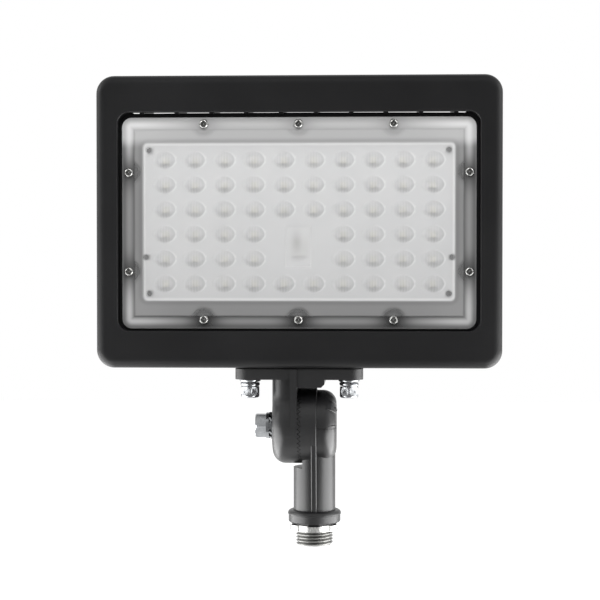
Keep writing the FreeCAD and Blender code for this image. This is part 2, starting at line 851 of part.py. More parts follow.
def toothed_flange():
    """Flange behind the teeth: a disc with straight sides that run up past the plate."""
    inner_x = centre_x - half_tooth
    arc = Part.Arc(vec(0, -knuckle_radius, pivot_z), vec(0, 0, pivot_z - knuckle_radius),
                   vec(0, knuckle_radius, pivot_z)).toShape()
    sides = Part.makePolygon([vec(0, knuckle_radius, pivot_z), vec(0, knuckle_radius, base_top),
                              vec(0, -knuckle_radius, base_top), vec(0, -knuckle_radius, pivot_z)])
    face = Part.Face(Part.Wire([arc] + sides.Edges))
    face.translate(vec(inner_x - flange_width, 0, 0))
    return face.extrude(vec(flange_width, 0, 0))


def knuckle_base():
    """Upper half of the knuckle: plate, toothed leg and the block that shelters the lower half."""
    plate = flat_plate(base_width, base_depth, base_corner, base_bottom, base_top)
    block_end = centre_x + block_reach
    shelter = block(centre_x - half_tooth - overlap, block_end, -base_depth / 2, base_depth / 2,
                    block_bottom, base_bottom + overlap)
    end = [edge for edge in edges_at(shelter, "X", block_end) if edge.BoundBox.ZMax < block_bottom + overlap]
    shelter = shelter.makeChamfer(block_bevel, end)
    body = fuse(plate, [leg(), toothed_flange(), shelter, tooth_ring(-1)])

    inner_x = centre_x - half_tooth
    channel = rod_x(tooth_inner_radius, inner_x - wireway_depth, inner_x, 0, pivot_z)
    channel = channel.cut(rod_x(hub_radius, inner_x - wireway_depth, inner_x - hub_relief, 0, pivot_z))
    tools = [channel, rod_x(pivot_radius + bolt_clearance, pivot_seat_x, inner_x, 0, pivot_z)]
    tools.append(rod_z(wire_hole_radius, pivot_z + hub_radius, base_top, centre_x - wire_hole_offset, 0))
    for x, y in base_bolt_places():
        tools.append(rod_z(base_bolt_radius + bolt_clearance, base_bottom, base_top, x, y))
    return cut(body, tools)


def base_gasket():
    """Sheet between the knuckle plate and the housing."""
    sheet = flat_plate(base_width - 2 * base_gasket_inset, base_depth - 2 * base_gasket_inset,
                       base_corner - base_gasket_inset, base_top, housing_bottom)
    holes = [rod_z(base_bolt_radius + bolt_clearance, base_top, housing_bottom, x, y)
             for x, y in base_bolt_places()]
    holes.append(rod_z(wire_hole_radius, base_top, housing_bottom, centre_x - wire_hole_offset, 0))
    return cut(sheet, holes)


def base_bolts():
    """Two socket-head screws up through the knuckle plate."""
    seat = base_bottom - base_washer_thickness - spring_washer_thickness
    low = seat - base_bolt_head
    top = housing_bottom + base_bolt_bite
    bolts = []
    for x, y in base_bolt_places():
        head = rod_z(base_bolt_head_radius, low, seat, x, y)
        head = head.makeFillet(base_bolt_head_round, edges_at(head, "Z", low))
        socket = hex_bar(base_bolt_socket, base_bolt_socket_depth)
        socket.translate(vec(x, y, low))
        bolts.append(fuse(head, [rod_z(base_bolt_radius, seat, top, x, y)]).cut(socket))
    return bolts


def washer_z(radius, hole, z0, z1, edge, x, y):
    """Washer across Z with its outer edges rounded."""
    disc = rod_z(radius, z0, z1, x, y)
    disc = disc.makeFillet(edge, edges_at(disc, "Z", z0) + edges_at(disc, "Z", z1))
    return disc.cut(rod_z(hole, z0, z1, x, y))


def base_flat_washers():
    """Plain washers against the knuckle plate."""
    hole = base_bolt_radius + bolt_clearance
    low = base_bottom - base_washer_thickness
    return [washer_z(base_washer_radius, hole, low, base_bottom, base_washer_round, x, y)
            for x, y in base_bolt_places()]


def base_spring_washers():
    """Split spring washers under the screw heads."""
    high = base_bottom - base_washer_thickness
    low = high - spring_washer_thickness
    hole = base_bolt_radius + thread_clearance
    washers = []
    for x, y in base_bolt_places():
        ring = washer_z(spring_washer_radius, hole, low, high, spring_washer_round, x, y)
        split = block(x - spring_washer_split / 2, x + spring_washer_split / 2,
                      y - 2 * spring_washer_radius, y, low - overlap, high + overlap)
        split.rotate(vec(x, y, (low + high) / 2), vec(0, 1, 0), spring_washer_tilt)
        washers.append(ring.cut(split))
    return washers


def knuckle_stem():
    """Lower half of the knuckle: toothed disc, dome, webbed stem and collar, bored for the wires."""
    face_x = centre_x + half_tooth
    disc_end = centre_x + disc_thickness
    dome_end = disc_end + dome_thickness
    disc = rod_x(knuckle_radius, face_x, disc_end, 0, pivot_z)
    disc = disc.makeFillet(edge_round, edges_at(disc, "X", disc_end))
    dome = rod_x(dome_radius, disc_end - overlap, dome_end, 0, pivot_z)
    dome = dome.makeFillet(dome_edge, edges_at(dome, "X", dome_end))
    core = rod_x(dome_radius - groove_depth, disc_end - overlap, dome_end - groove_depth, 0, pivot_z)
    core = core.makeFillet(dome_edge - groove_depth, edges_at(core, "X", dome_end - groove_depth))
    index_line = block(disc_end, dome_end, -dome_radius, 0,
                       pivot_z - groove_width / 2, pivot_z + groove_width / 2)
    dome = dome.cut(index_line.cut(core))

    stem = rod_z(stem_radius, collar_top - overlap, pivot_z, 0, 0)
    heel = block(-2 * stem_radius, centre_x + heel_side, -2 * stem_radius, 2 * stem_radius,
                 pivot_z - knuckle_radius - heel_gap, pivot_z + overlap)
    stem = stem.cut(heel)
    lip_radius = collar_radius + collar_lip
    lip_bottom = collar_top - collar_lip_height
    collar = spun([(0, collar_bottom), (collar_radius - collar_bevel, collar_bottom),
                   (collar_radius, collar_bottom + collar_bevel), (collar_radius, lip_bottom),
                   (lip_radius, lip_bottom + collar_lip), (lip_radius, collar_top), (0, collar_top)],
                  vec(0, 0, 0), vec(0, 0, 1))
    collar = collar.makeFillet(collar_round, edges_at(collar, "Z", collar_top))

    web_top_z = pivot_z - web_top_drop
    web_top = math.sqrt((knuckle_radius - web_top_inset) ** 2 - web_top_drop ** 2)
    outline = [(-web_top, web_top_z), (web_top, web_top_z),
               (web_foot, collar_top - overlap), (-web_foot, collar_top - overlap)]
    points = [vec(disc_end - web_thickness, y, z) for y, z in outline]
    web = Part.Face(Part.makePolygon(points + points[:1])).extrude(vec(web_thickness, 0, 0))
    web = web.makeFillet(edge_round, [edge for edge in web.Edges if edge.BoundBox.ZLength > overlap])
    body = fuse(disc, [dome, stem, collar, web, tooth_ring(1)])

    channel = rod_x(tooth_inner_radius, face_x, face_x + wireway_depth, 0, pivot_z)
    channel = channel.cut(rod_x(hub_radius, face_x + hub_relief, face_x + wireway_depth, 0, pivot_z))
    tools = [channel, rod_z(stem_bore_radius, collar_bottom, pivot_z - hub_radius, 0, 0)]
    tools.append(rod_x(pivot_radius + running_clearance, face_x,
                       centre_x + pivot_tip_reach + screw_tip_gap, 0, pivot_z))
    tools.append(rod_z(nipple_engaged_radius + thread_clearance,
                       collar_bottom, collar_bottom + nipple_seat, 0, 0))
    return cut(body, tools)


def nipple():
    """Conduit nipple: its free thread at full radius, the engaged thread at its pitch radius."""
    top = collar_bottom + nipple_seat
    outline = [
        (nipple_bore_radius, -nipple_free_length),
        (nipple_radius - nipple_bevel, -nipple_free_length),
        (nipple_radius, nipple_bevel - nipple_free_length),
        (nipple_radius, 0),
        (nipple_engaged_radius, 0),
        (nipple_engaged_radius, top),
        (nipple_bore_radius, top),
    ]
    return spun(outline, vec(0, 0, 0), vec(0, 0, 1))


def locknut():
    """Conduit lock nut with lugs."""
    ring = rod_z(locknut_radius, 0, locknut_thickness, 0, 0)
    reach = rod_z(locknut_lug_radius, 0, locknut_thickness, 0, 0)
    lugs = []
    for index in range(locknut_lugs):
        lug = block(0, 2 * locknut_lug_radius, -locknut_lug_width / 2, locknut_lug_width / 2,
                    0, locknut_thickness)
        lug.rotate(vec(0, 0, 0), vec(0, 0, 1), 360 / locknut_lugs * (index + 0.5))
        lugs.append(lug.common(reach))
    bore = rod_z(nipple_engaged_radius + running_clearance, 0, locknut_thickness, 0, 0)
    return fuse(ring, lugs).cut(bore)


def pivot_bolt():
    """Hexagon bolt along the pivot axis, screwed into the dome, with a corner of its head to the front."""
    seat = vec(pivot_head_x, 0, pivot_z)
    head = hex_head(pivot_head_flats, pivot_head, pivot_head_bevel, seat, vec(-1, 0, 0))
    head.rotate(seat, vec(1, 0, 0), 90)
    shank = rod_x(pivot_radius, pivot_head_x, centre_x + pivot_tip_reach, 0, pivot_z)
    return fuse(head, [shank])


def pivot_washer():
    """Plain washer under the pivot bolt's head."""
    hole = rod_x(pivot_radius + running_clearance, pivot_head_x, pivot_washer_x, 0, pivot_z)
    return rod_x(pivot_washer_radius, pivot_head_x, pivot_washer_x, 0, pivot_z).cut(hole)


def tooth_washer():
    """Lock washer whose outer teeth are twisted out of its plane."""
    middle = pivot_washer_x + tooth_washer_height / 2
    low = middle - tooth_washer_plate / 2
    high = middle + tooth_washer_plate / 2
    ring = rod_x(tooth_washer_root, low, high, 0, pivot_z)
    teeth = []
    for index in range(tooth_washer_teeth):
        tooth = block(low, high, tooth_washer_root - overlap, tooth_washer_radius,
                      pivot_z - tooth_washer_tooth_width / 2, pivot_z + tooth_washer_tooth_width / 2)
        tooth.rotate(vec(middle, 0, pivot_z), vec(0, 1, 0), tooth_washer_twist)
        tooth.rotate(vec(middle, 0, pivot_z), vec(1, 0, 0), 360 / tooth_washer_teeth * index)
        teeth.append(tooth)
    hole = rod_x(pivot_radius + running_clearance, low - overlap, high + overlap, 0, pivot_z)
    return fuse(ring, teeth).cut(hole)


def export(name, shape):
    """Write one node; a list of shapes becomes one file of separate solids."""
    whole = Part.makeCompound(shape) if isinstance(shape, list) else shape
    whole.exportStep("parts/" + name + ".step")


os.makedirs("parts", exist_ok=True)
for build in (
    housing, lens_cover, lens_gasket, lens_screws, led_board, led_chips, board_screws, board_connector,
    board_leads, driver, driver_screws, rear_gasket, rear_cover, rear_cover_screws, base_gasket,
    knuckle_base, base_bolts, base_flat_washers, base_spring_washers, knuckle_stem, nipple, locknut,
    pivot_bolt, pivot_washer, tooth_washer,
):
    export(build.__name__, build())
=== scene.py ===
import logging
import math
from dataclasses import dataclass, field
from enum import Enum
from typing import ClassVar

import bmesh
import bpy
import numpy as np
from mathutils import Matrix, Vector


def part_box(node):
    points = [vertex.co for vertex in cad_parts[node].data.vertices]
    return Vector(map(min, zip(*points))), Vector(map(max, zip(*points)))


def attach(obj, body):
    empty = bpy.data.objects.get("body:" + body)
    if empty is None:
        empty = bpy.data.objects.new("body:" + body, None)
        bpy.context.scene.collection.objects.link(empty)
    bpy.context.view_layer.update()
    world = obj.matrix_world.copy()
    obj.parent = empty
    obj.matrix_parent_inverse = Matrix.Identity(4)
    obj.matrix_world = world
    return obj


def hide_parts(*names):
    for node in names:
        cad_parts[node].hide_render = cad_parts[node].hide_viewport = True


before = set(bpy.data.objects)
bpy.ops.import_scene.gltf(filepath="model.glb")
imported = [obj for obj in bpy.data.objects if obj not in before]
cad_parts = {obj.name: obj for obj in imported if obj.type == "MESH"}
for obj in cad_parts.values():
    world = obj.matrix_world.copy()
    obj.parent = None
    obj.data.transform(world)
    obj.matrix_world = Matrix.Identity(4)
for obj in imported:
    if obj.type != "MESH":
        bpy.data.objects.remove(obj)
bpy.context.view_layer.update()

Array = np.ndarray
Pair = tuple[float, float]
Triple = tuple[float, float, float]
Setting = bool | int | float | str | tuple | list

MM = 0.001
RIGHT: Triple = (1.0, 0.0, 0.0)
FRONT: Triple = (0.0, -1.0, 0.0)
UP: Triple = (0.0, 0.0, 1.0)
WHITE = (1.0, 1.0, 1.0, 1.0)
# Axes of the cover's face: X across and Z up.
FACE = [0, 2]
BOTH_SIDES = np.array([-1, 1])
# Points that are closer than this become one, and shorter edges are taken out, in metres.
MERGE_M = 1e-7
SPECK_M = 1e-8
# Rounded castings and mouldings stay soft up to this turn between two faces.
SOFT_EDGE_DEG = 60.0
# The part of a noise's range that a colour or a shine follows.
TINT_STOPS: Pair = (0.35, 0.65)
SHINE_STOPS: Pair = (0.3, 0.7)
RANGE_INPUTS = ("From Min", "From Max", "To Min", "To Max")
log = logging.getLogger("flood_light")


class Body(Enum):
    """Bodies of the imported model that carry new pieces."""

    STEM = "stem"
    HEAD = "head"


class Slot(Enum):
    """The record's material slots of the new pieces."""

    OPTIC = "optic"
    STAINLESS = "stainless"
    HOUSING = "housing_coat"
    KNUCKLE = "knuckle_coat"
    PLATED = "plated_steel"
    ZINC = "zinc_steel"


def linear(colour: str) -> tuple[float, float, float, float]:
    """Turns an sRGB hex value into a linear colour, by the curve of the sRGB standard.

    Args:
        colour: Hex value such as "#A0B0C0".

    Returns:
        Red, green and blue as linear light, and an alpha of 1.
    """
    parts = np.array([int(colour[k:k + 2], 16) for k in (1, 3, 5)]) / 255
    light = np.where(parts <= 0.04045, parts / 12.92, ((parts + 0.055) / 1.055) ** 2.4)
    return (*light.tolist(), 1.0)


def add_node(tree: bpy.types.NodeTree, kind: str, settings: dict[str | int, Setting] | None = None,
             links: dict[str | int, bpy.types.NodeSocket] | None = None) -> bpy.types.Node:
    """Adds one node with its settings and the links into it.

    Args:
        tree: Node tree that takes the node.
        kind: Identifier of the node's type.
        settings: Values by an input's name or number or a property's name; "ramp" lists a ramp's
            stops.
        links: Output sockets by the name or number of the input that each one feeds.

    Returns:
        The new node.
    """
    made = tree.nodes.new(kind)
    for name, value in (settings or {}).items():
        if name == "ramp":
            for stop, (place, colour) in zip(made.color_ramp.elements, value):
                stop.position = place
                stop.color = colour
        elif isinstance(name, int) or name in made.inputs:
            made.inputs[name].default_value = value
        else:
            setattr(made, name, value)
    for name, source in (links or {}).items():
        tree.links.new(source, made.inputs[name])
    return made


def smooth(value: Array) -> Array:
    """Smooth step from 0 to 1: 3v^2 - 2v^3, with v held between 0 and 1."""
    held = np.clip(value, 0.0, 1.0)
    return held * held * (3 - 2 * held)


def soft_edge(inside: Array, width: float) -> Array:
    """Smooth step from 0 outside to 1 inside, over a width that has the edge in its middle."""
    return smooth(inside / width + 0.5)


def bell(value: Array, width: float) -> Array:
    """Bell curve: exp(-(value / width)^2)."""
    return np.exp(-(value / width) ** 2)


@dataclass(frozen=True)
class Finish:
    """A surface as it was made: what it is, its colours and its shine."""

    name: str
    colour: str
    shade: str
    roughness: float
    metallic: float = 0.0
    ior: float = 1.5

    def material(self) -> bpy.types.Material:
        """Builds the finish's material on first use.

        Returns:
            The material, which is shared by everything that has this finish.
        """
        if self.name in bpy.data.materials:
            return bpy.data.materials[self.name]
        made = bpy.data.materials.new(self.name)
        made.use_nodes = True
        tree = made.node_tree
        shader = tree.nodes["Principled BSDF"]
        shader.inputs["Roughness"].default_value = self.roughness
        shader.inputs["Metallic"].default_value = self.metallic
        shader.inputs["IOR"].default_value = self.ior
        place = add_node(tree, "ShaderNodeTexCoord").outputs["Object"]
        for name, source in self.pattern(tree, place).items():
            tree.links.new(source, shader.inputs[name])
        return made

    def pattern(self, tree: bpy.types.NodeTree,
                place: bpy.types.NodeSocket) -> dict[str, bpy.types.NodeSocket]:
        """Adds the nodes of the finish's own pattern.

        Args:
            tree: The material's node tree.
            place: Object coordinates, in metres.

        Returns:
            Output sockets by the name of the shader's input that each one feeds.
        """
        raise NotImplementedError

    def shine_range(self, spread: float) -> dict[str, float]:
        """Settings that carry a noise to the roughness, give or take a spread."""
        ends = (self.roughness - spread, self.roughness + spread)
        return dict(zip(RANGE_INPUTS, SHINE_STOPS + ends))


@dataclass(frozen=True)
class Grained(Finish):
    """Coats, mouldings and rubber: an even grain, with broad patches in colour and shine."""

    grain_mm: float = 1.0
    grain_detail: float = 3.0
    depth_mm: float = 0.02
    patch_mm: float = 40.0
    patch_detail: float = 4.0
    shine_spread: float = 0.06

    def pattern(self, tree: bpy.types.NodeTree,
                place: bpy.types.NodeSocket) -> dict[str, bpy.types.NodeSocket]:
        """Fine noise lifts the surface; broad noise shifts its colour and its roughness.

        Args:
            tree: The material's node tree.
            place: Object coordinates, in metres.

        Returns:
            Output sockets for the shader's colour, roughness and normal.
        """
        sizes = ((self.grain_mm, self.grain_detail), (self.patch_mm, self.patch_detail))
        grain, patch = (
            add_node(tree, "ShaderNodeTexNoise", {"Scale": 1 / (size * MM), "Detail": detail},
                     {"Vector": place}).outputs["Fac"]
            for size, detail in sizes)
        colours = (linear(self.colour), linear(self.shade))
        tint = add_node(tree, "ShaderNodeValToRGB", {"ramp": list(zip(TINT_STOPS, colours))},
                        {"Fac": patch})
        shine = add_node(tree, "ShaderNodeMapRange", self.shine_range(self.shine_spread),
                         {"Value": patch})
        relief = add_node(tree, "ShaderNodeBump", {"Strength": 1.0, "Distance": self.depth_mm * MM},
                          {"Height": grain})
        return {"Base Color": tint.outputs["Color"], "Roughness": shine.outputs["Result"],
                "Normal": relief.outputs["Normal"]}


@dataclass(frozen=True)
class Metal(Finish):
    """Bare and plated metal: drawn lines, a cloudy bloom, and painted shade with some grime where a
    mesh has it.
    """

    metallic: float = 1.0
    line_mm: float = 0.25
    line_detail: float = 2.0
    draw: Triple = (1.0, 1.0, 0.1)
    patch_mm: float = 6.0
    patch_detail: float = 3.0
    shine_spread: float = 0.08
    shade_and_grime: str = "shade_and_grime"
    shade_and_grime_colour: str = "#1C1B1A"

    def pattern(self, tree: bpy.types.NodeTree,
                place: bpy.types.NodeSocket) -> dict[str, bpy.types.NodeSocket]:
        """Stretched noise gives the shine its drawn lines; broad noise gives the colour its bloom.

        Args:
            tree: The material's node tree.
            place: Object coordinates, in metres.

        Returns:
            Output sockets for the shader's colour and roughness.
        """
        drawn = add_node(tree, "ShaderNodeMapping", {"Scale": self.draw}, {"Vector": place})
        sizes = ((self.line_mm, self.line_detail, drawn.outputs["Vector"]),
                 (self.patch_mm, self.patch_detail, place))
        line, bloom = (
            add_node(tree, "ShaderNodeTexNoise", {"Scale": 1 / (size * MM), "Detail": detail},
                     {"Vector": source}).outputs["Fac"]
            for size, detail, source in sizes)
        colours = (linear(self.shade), linear(self.colour))
        tint = add_node(tree, "ShaderNodeValToRGB", {"ramp": list(zip(TINT_STOPS, colours))},
                        {"Fac": bloom})
        shine = add_node(tree, "ShaderNodeMapRange", self.shine_range(self.shine_spread),
                         {"Value": line})
        # Painted shade with some grime, from the mesh's values, darkens the colour in hollows.
        shade_and_soil = add_node(tree, "ShaderNodeAttribute", {"attribute_name": self.shade_and_grime})
        shaded_grimy = add_node(tree, "ShaderNodeMixRGB", {"Color2": linear(self.shade_and_grime_colour)},
                          {"Fac": shade_and_soil.outputs["Fac"], "Color1": tint.outputs["Color"]})
        return {"Base Color": shaded_grimy.outputs["Color"], "Roughness": shine.outputs["Result"]}


@dataclass(frozen=True)
class MilkyMoulding(Finish):
    """Moulded plastic that scatters light: its milkiness, with painted light and shade, and its
    see-through come with the mesh.

    Light that spreads inside the plastic evens out its relief, so part of its shading is that of a
    flat front.
    """

    ior: float = 1.58
    milk_light_and_shade: str = "milk_light_and_shade"
    body: str = "body"
    ripple_mm: float = 3.0
    ripple_detail: float = 2.0
    depth_mm: float = 0.01
    spread: float = 0.94

    def pattern(self, tree: bpy.types.NodeTree,
                place: bpy.types.NodeSocket) -> dict[str, bpy.types.NodeSocket]:
        """The mesh's own values set colour and see-through; a slow ripple keeps the gloss uneven.

        Args:
            tree: The material's node tree.
            place: Object coordinates, in metres.

        Returns:
            Output sockets for the shader's colour, alpha and normal.
        """
        level, solid = (
            add_node(tree, "ShaderNodeAttribute", {"attribute_name": name}).outputs["Fac"]
            for name in (self.milk_light_and_shade, self.body))
        tint = add_node(tree, "ShaderNodeValToRGB",
                        {"ramp": [(0.0, linear(self.shade)), (1.0, linear(self.colour))]},
                        {"Fac": level})
        ripple = add_node(tree, "ShaderNodeTexNoise",
                          {"Scale": 1 / (self.ripple_mm * MM), "Detail": self.ripple_detail},
                          {"Vector": place})
        relief = add_node(tree, "ShaderNodeBump", {"Strength": 1.0, "Distance": self.depth_mm * MM},
                          {"Height": ripple.outputs["Fac"]})
        front = add_node(tree, "ShaderNodeVectorTransform",
                         {"vector_type": "NORMAL", "convert_from": "OBJECT", "convert_to": "WORLD",
                          "Vector": FRONT})
        evened = add_node(tree, "ShaderNodeMixRGB", {"Fac": self.spread},
                          {"Color1": relief.outputs["Normal"], "Color2": front.outputs["Vector"]})
        facing = add_node(tree, "ShaderNodeVectorMath", {"operation": "NORMALIZE"},
                          {"Vector": evened.outputs["Color"]})
        return {"Base Color": tint.outputs["Color"], "Alpha": solid,
                "Normal": facing.outputs["Vector"]}


# Powder coat baked on cast aluminium: satin black with a fine orange peel that softens highlights.
# The peel is drawn at 1.1 mm, twice its real size, so that it shows.
# Its matting wax keeps its shine below that of plain resin.
POWDER_COAT = Grained("satin_powder_coat_on_cast_aluminium", "#111112", "#151516", 0.42, ior=1.3,
                      grain_mm=1.1, depth_mm=0.02, patch_mm=60.0, shine_spread=0.04)
# Wet enamel on cast aluminium: smoother than powder coat, so its highlights are narrow and bright.
ENAMEL = Grained("smooth_enamel_on_cast_aluminium", "#111112", "#161617", 0.38,
                 grain_mm=1.8, depth_mm=0.02, patch_mm=30.0, shine_spread=0.04)
# Closed-cell sponge rubber, cut from sheet: dull, with small cells that the cut has opened.
SPONGE = Grained("closed_cell_sponge_rubber", "#101010", "#191919", 0.85,
                 grain_mm=0.7, depth_mm=0.08, patch_mm=12.0)
# White solder mask over an aluminium board: bright, a little glossy, mottled by the copper below.
SOLDER_MASK = Grained("white_solder_mask_on_aluminium", "#D6D6D6", "#CCCDCE", 0.4,
                      grain_mm=2.4, depth_mm=0.015, patch_mm=7.0)
# Silicone filled with phosphor in a white package: pale and matte, slightly warm.
PHOSPHOR = Grained("phosphor_in_silicone", "#D2D0C6", "#CAC8BA", 0.5,
                   grain_mm=0.4, depth_mm=0.01, patch_mm=2.0)
# Moulded nylon: pale grey, waxy and even.
NYLON = Grained("moulded_nylon", "#CECECB", "#C2C2BF", 0.5,
                grain_mm=0.6, depth_mm=0.01, patch_mm=5.0)
# Extruded silicone rubber: soft dull red with a faint even grain.
SILICONE = Grained("extruded_silicone_rubber", "#7A2A24", "#6A211C", 0.6,
                   grain_mm=0.5, depth_mm=0.01, patch_mm=6.0)
# Stainless steel, cold headed: bright grey with a soft sheen, and painted shade with some grime in
# its recesses.
STAINLESS = Metal("cold_headed_stainless_steel", "#BEBEBC", "#A6A6A4", 0.22,
                  line_mm=0.3, patch_mm=3.0)
# Steel plated with bright zinc: nearly mirror-like, with a faint cloudy bloom.
BRIGHT_ZINC = Metal("bright_zinc_on_steel", "#A4A6A8", "#8E9092", 0.18,
                    line_mm=0.4, patch_mm=5.0, shine_spread=0.06)
# Conduit fittings in barrel-plated zinc: silvery, softer than the bolts.
CONDUIT_ZINC = Metal("barrel_plated_zinc_on_steel", "#C4C4C2", "#ACACAA", 0.3,
                     line_mm=0.35, patch_mm=4.0)
# Rolled thread in thin dull zinc: duller than the nut, with painted shade and some oil and grit in
# its roots.
ROLLED_ZINC = Metal("rolled_thread_in_dull_zinc", "#A0A09E", "#8E8E8C", 0.38,
                    line_mm=0.35, patch_mm=6.0, shine_spread=0.03)
# Black oxide on steel: dark, with a dull metal sheen.
BLACK_OXIDE = Metal("black_oxide_on_steel", "#37373A", "#2A2A2C", 0.4, line_mm=0.3, patch_mm=2.0)
# Aluminium case, brushed along its length: grey with fine lines.
BRUSHED_CASE = Metal("brushed_aluminium_case", "#B9BABC", "#A6A7A9", 0.38,
                     line_mm=0.5, draw=(0.05, 1.0, 1.0), patch_mm=20.0)
# Polycarbonate, injection moulded: glossy, milky in the border, clear enough to show the board.
POLYCARBONATE = MilkyMoulding("milky_moulded_polycarbonate", "#FFFFFF", "#000000", 0.16)


@dataclass
class Surface:
    """A mesh in the making: points in millimetres, faces, and values kept with the points."""

    points: Array
    quads: Array
    caps: list[Array] = field(default_factory=list)
    values: dict[str, Array] = field(default_factory=dict)

    @staticmethod
    def joined(parts: "list[Surface]") -> "Surface":
        """Puts surfaces with the same values into one, with each one's faces numbered on.

        Args:
            parts: The surfaces.

        Returns:
            One surface that holds them all.
        """
        starts = np.cumsum([0] + [len(part.points) for part in parts[:-1]])
        quads = np.concatenate([part.quads + start for part, start in zip(parts, starts)])
        caps = [cap + start for part, start in zip(parts, starts) for cap in part.caps]
        values = {name: np.concatenate([part.values[name] for part in parts])
                  for name in parts[0].values}
        return Surface(np.concatenate([part.points for part in parts]), quads, caps, values)

    def copies(self, moves: Array) -> "Surface":
        """One surface that holds a copy of this one for each move, in millimetres."""
        return Surface.joined([Surface(self.points + move, self.quads, self.caps, self.values)
                               for move in moves])

    def piece(self, name: str, finish: Finish, sharp_deg: float = 32.0) -> bpy.types.Object:
        """Makes the Blender object: seams merged, faces outward, soft up to a sharp edge.

        Args:
            name: The piece's name.
            finish: What its surface is.
            sharp_deg: Edges that turn by more than this stay sharp.

        Returns:
            The object, at the origin and linked to the scene.
        """
        mesh = bpy.data.meshes.new(name)
        faces = self.quads.tolist() + [cap.tolist() for cap in self.caps]
        mesh.from_pydata((self.points * MM).tolist(), [], faces)
        for label, values in self.values.items():
            kept = mesh.attributes.new(label, "FLOAT", "POINT")
            kept.data.foreach_set("value", values.astype(np.float32))
        shape = bmesh.new()
        shape.from_mesh(mesh)
        bmesh.ops.remove_doubles(shape, verts=shape.verts, dist=MERGE_M)
        bmesh.ops.dissolve_degenerate(shape, edges=shape.edges, dist=SPECK_M)
        bmesh.ops.recalc_face_normals(shape, faces=shape.faces)
        shape.to_mesh(mesh)
        shape.free()
        mesh.shade_smooth()
        mesh.set_sharp_from_angle(angle=math.radians(sharp_deg))
        mesh.materials.append(finish.material())
        made = bpy.data.objects.new(name, mesh)
        bpy.context.scene.collection.objects.link(made)
        return made


def grid_quads(rows: int, columns: int, ring: bool) -> Array:
    """Quads between the neighbouring points of a grid, numbered row by row.

    Args:
        rows: How many rows the grid has.
        columns: How many points each row has.
        ring: If a row's last point meets its first.

    Returns:
        One row of four point numbers for each quad.
    """
    start = np.arange(rows - 1)[:, None] * columns
    here = np.arange(columns if ring else columns - 1)[None, :]
    after = (here + 1) % columns
    corners = [start + here, start + after, start + columns + after, start + columns + here]
    return np.stack(corners, axis=-1).reshape(-1, 4)


def full_turn(steps: int) -> Array:
    """Angles of one full turn in even steps, in radians."""
    return np.linspace(0, 2 * np.pi, steps, endpoint=False)


def carried(profile: Array, steps: int) -> Array:
    """Values of a profile as rows, each repeated for every step round the axis."""
    return np.repeat(profile[:, None], steps, axis=1)


def turned(radius: Array, height: Array, angle: Array, axis: Triple, side: Triple) -> Surface:
    """A turned shape: each profile point at its radius round an axis and its height along it.

    point = height * axis + radius * (cos(angle) * side + sin(angle) * (axis x side)).

    Args:
        radius: Radii in millimetres, one row for each profile point and one column for each angle.
        height: Heights in millimetres, in the same rows and columns.
        angle: One angle in radians for each column.
        axis: Unit vector along the turning axis.
        side: Unit vector where the angle is 0.

    Returns:
        The surface, with a ring of quads between each two rows.
    """
    across = np.cross(axis, side)
    out = np.cos(angle)[:, None] * np.array(side) + np.sin(angle)[:, None] * across
    points = radius[..., None] * out[None] + height[..., None] * np.array(axis)
    return Surface(points.reshape(-1, 3), grid_quads(*radius.shape, ring=True))


def crossings(across: Array, up: Array) -> Array:
    """Points where lines across X meet lines up Z, one row for each level."""
    return np.stack(np.meshgrid(across, up), axis=-1)


def inside_rounded(flat: Array, centre: Array, half: Array, corner: float) -> Array:
    """Way in from the outline of a box with round corners: minus its signed distance.

    Args:
        flat: Points as X and Z, in millimetres.
        centre: The box's middle.
        half: Half its width and half its height.
        corner: Radius of its corners.

    Returns:
        Distance in millimetres, positive inside.
    """
    out = np.abs(flat - centre) - half + corner
    far = np.linalg.norm(np.maximum(out, 0.0), axis=-1)
    return corner - far - np.minimum(out.max(axis=-1), 0.0)


def nearest(flat: Array, places: Array) -> Array:
    """Distance from each point to the nearest of some places, all as X and Z."""
    return np.linalg.norm(flat[..., None, :] - places, axis=-1).min(axis=-1)


def box_mm(node: str) -> tuple[Array, ...]:
    """Low and high corner of a node's box, in millimetres."""
    return tuple(np.array(corner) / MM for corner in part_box(node))


def middle(node: str) -> Array:
    """Centre of a node's box, in millimetres."""
    low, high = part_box(node)
    return (np.array(low) + np.array(high)) / 2 / MM


def half_size(node: str) -> Array:
    """Half the size of a node's box, in millimetres."""
    low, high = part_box(node)
    return (np.array(high) - np.array(low)) / 2 / MM


def placed(piece: bpy.types.Object, body: Body, slot: Slot, *nodes: str) -> None:
    """Puts a piece on its body, hides the nodes that it stands for, and reports it.

    Args:
        piece: The new piece.
        body: The body that carries it.
        slot: The record's material slot; not used.
        nodes: CAD nodes that it replaces.
    """
    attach(piece, body.value)
    if nodes:
        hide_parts(*nodes)
    log.info("%s: %d faces on %s", piece.name, len(piece.data.polygons), body.value)


class SubAssembly:
    """A group of CAD nodes with their finishes, and the pieces that are built round them."""

    finishes: ClassVar[dict[str, Finish]] = {}

    def dress(self) -> None:
        """Gives each CAD node of the group its finish."""
        for node, finish in self.finishes.items():
            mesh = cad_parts[node].data
            mesh.materials.clear()
            mesh.materials.append(finish.material())
            log.info("%s: %s", node, finish.name)

    def build(self) -> None:
        """Builds the group's new pieces; a group of plain CAD nodes has none."""


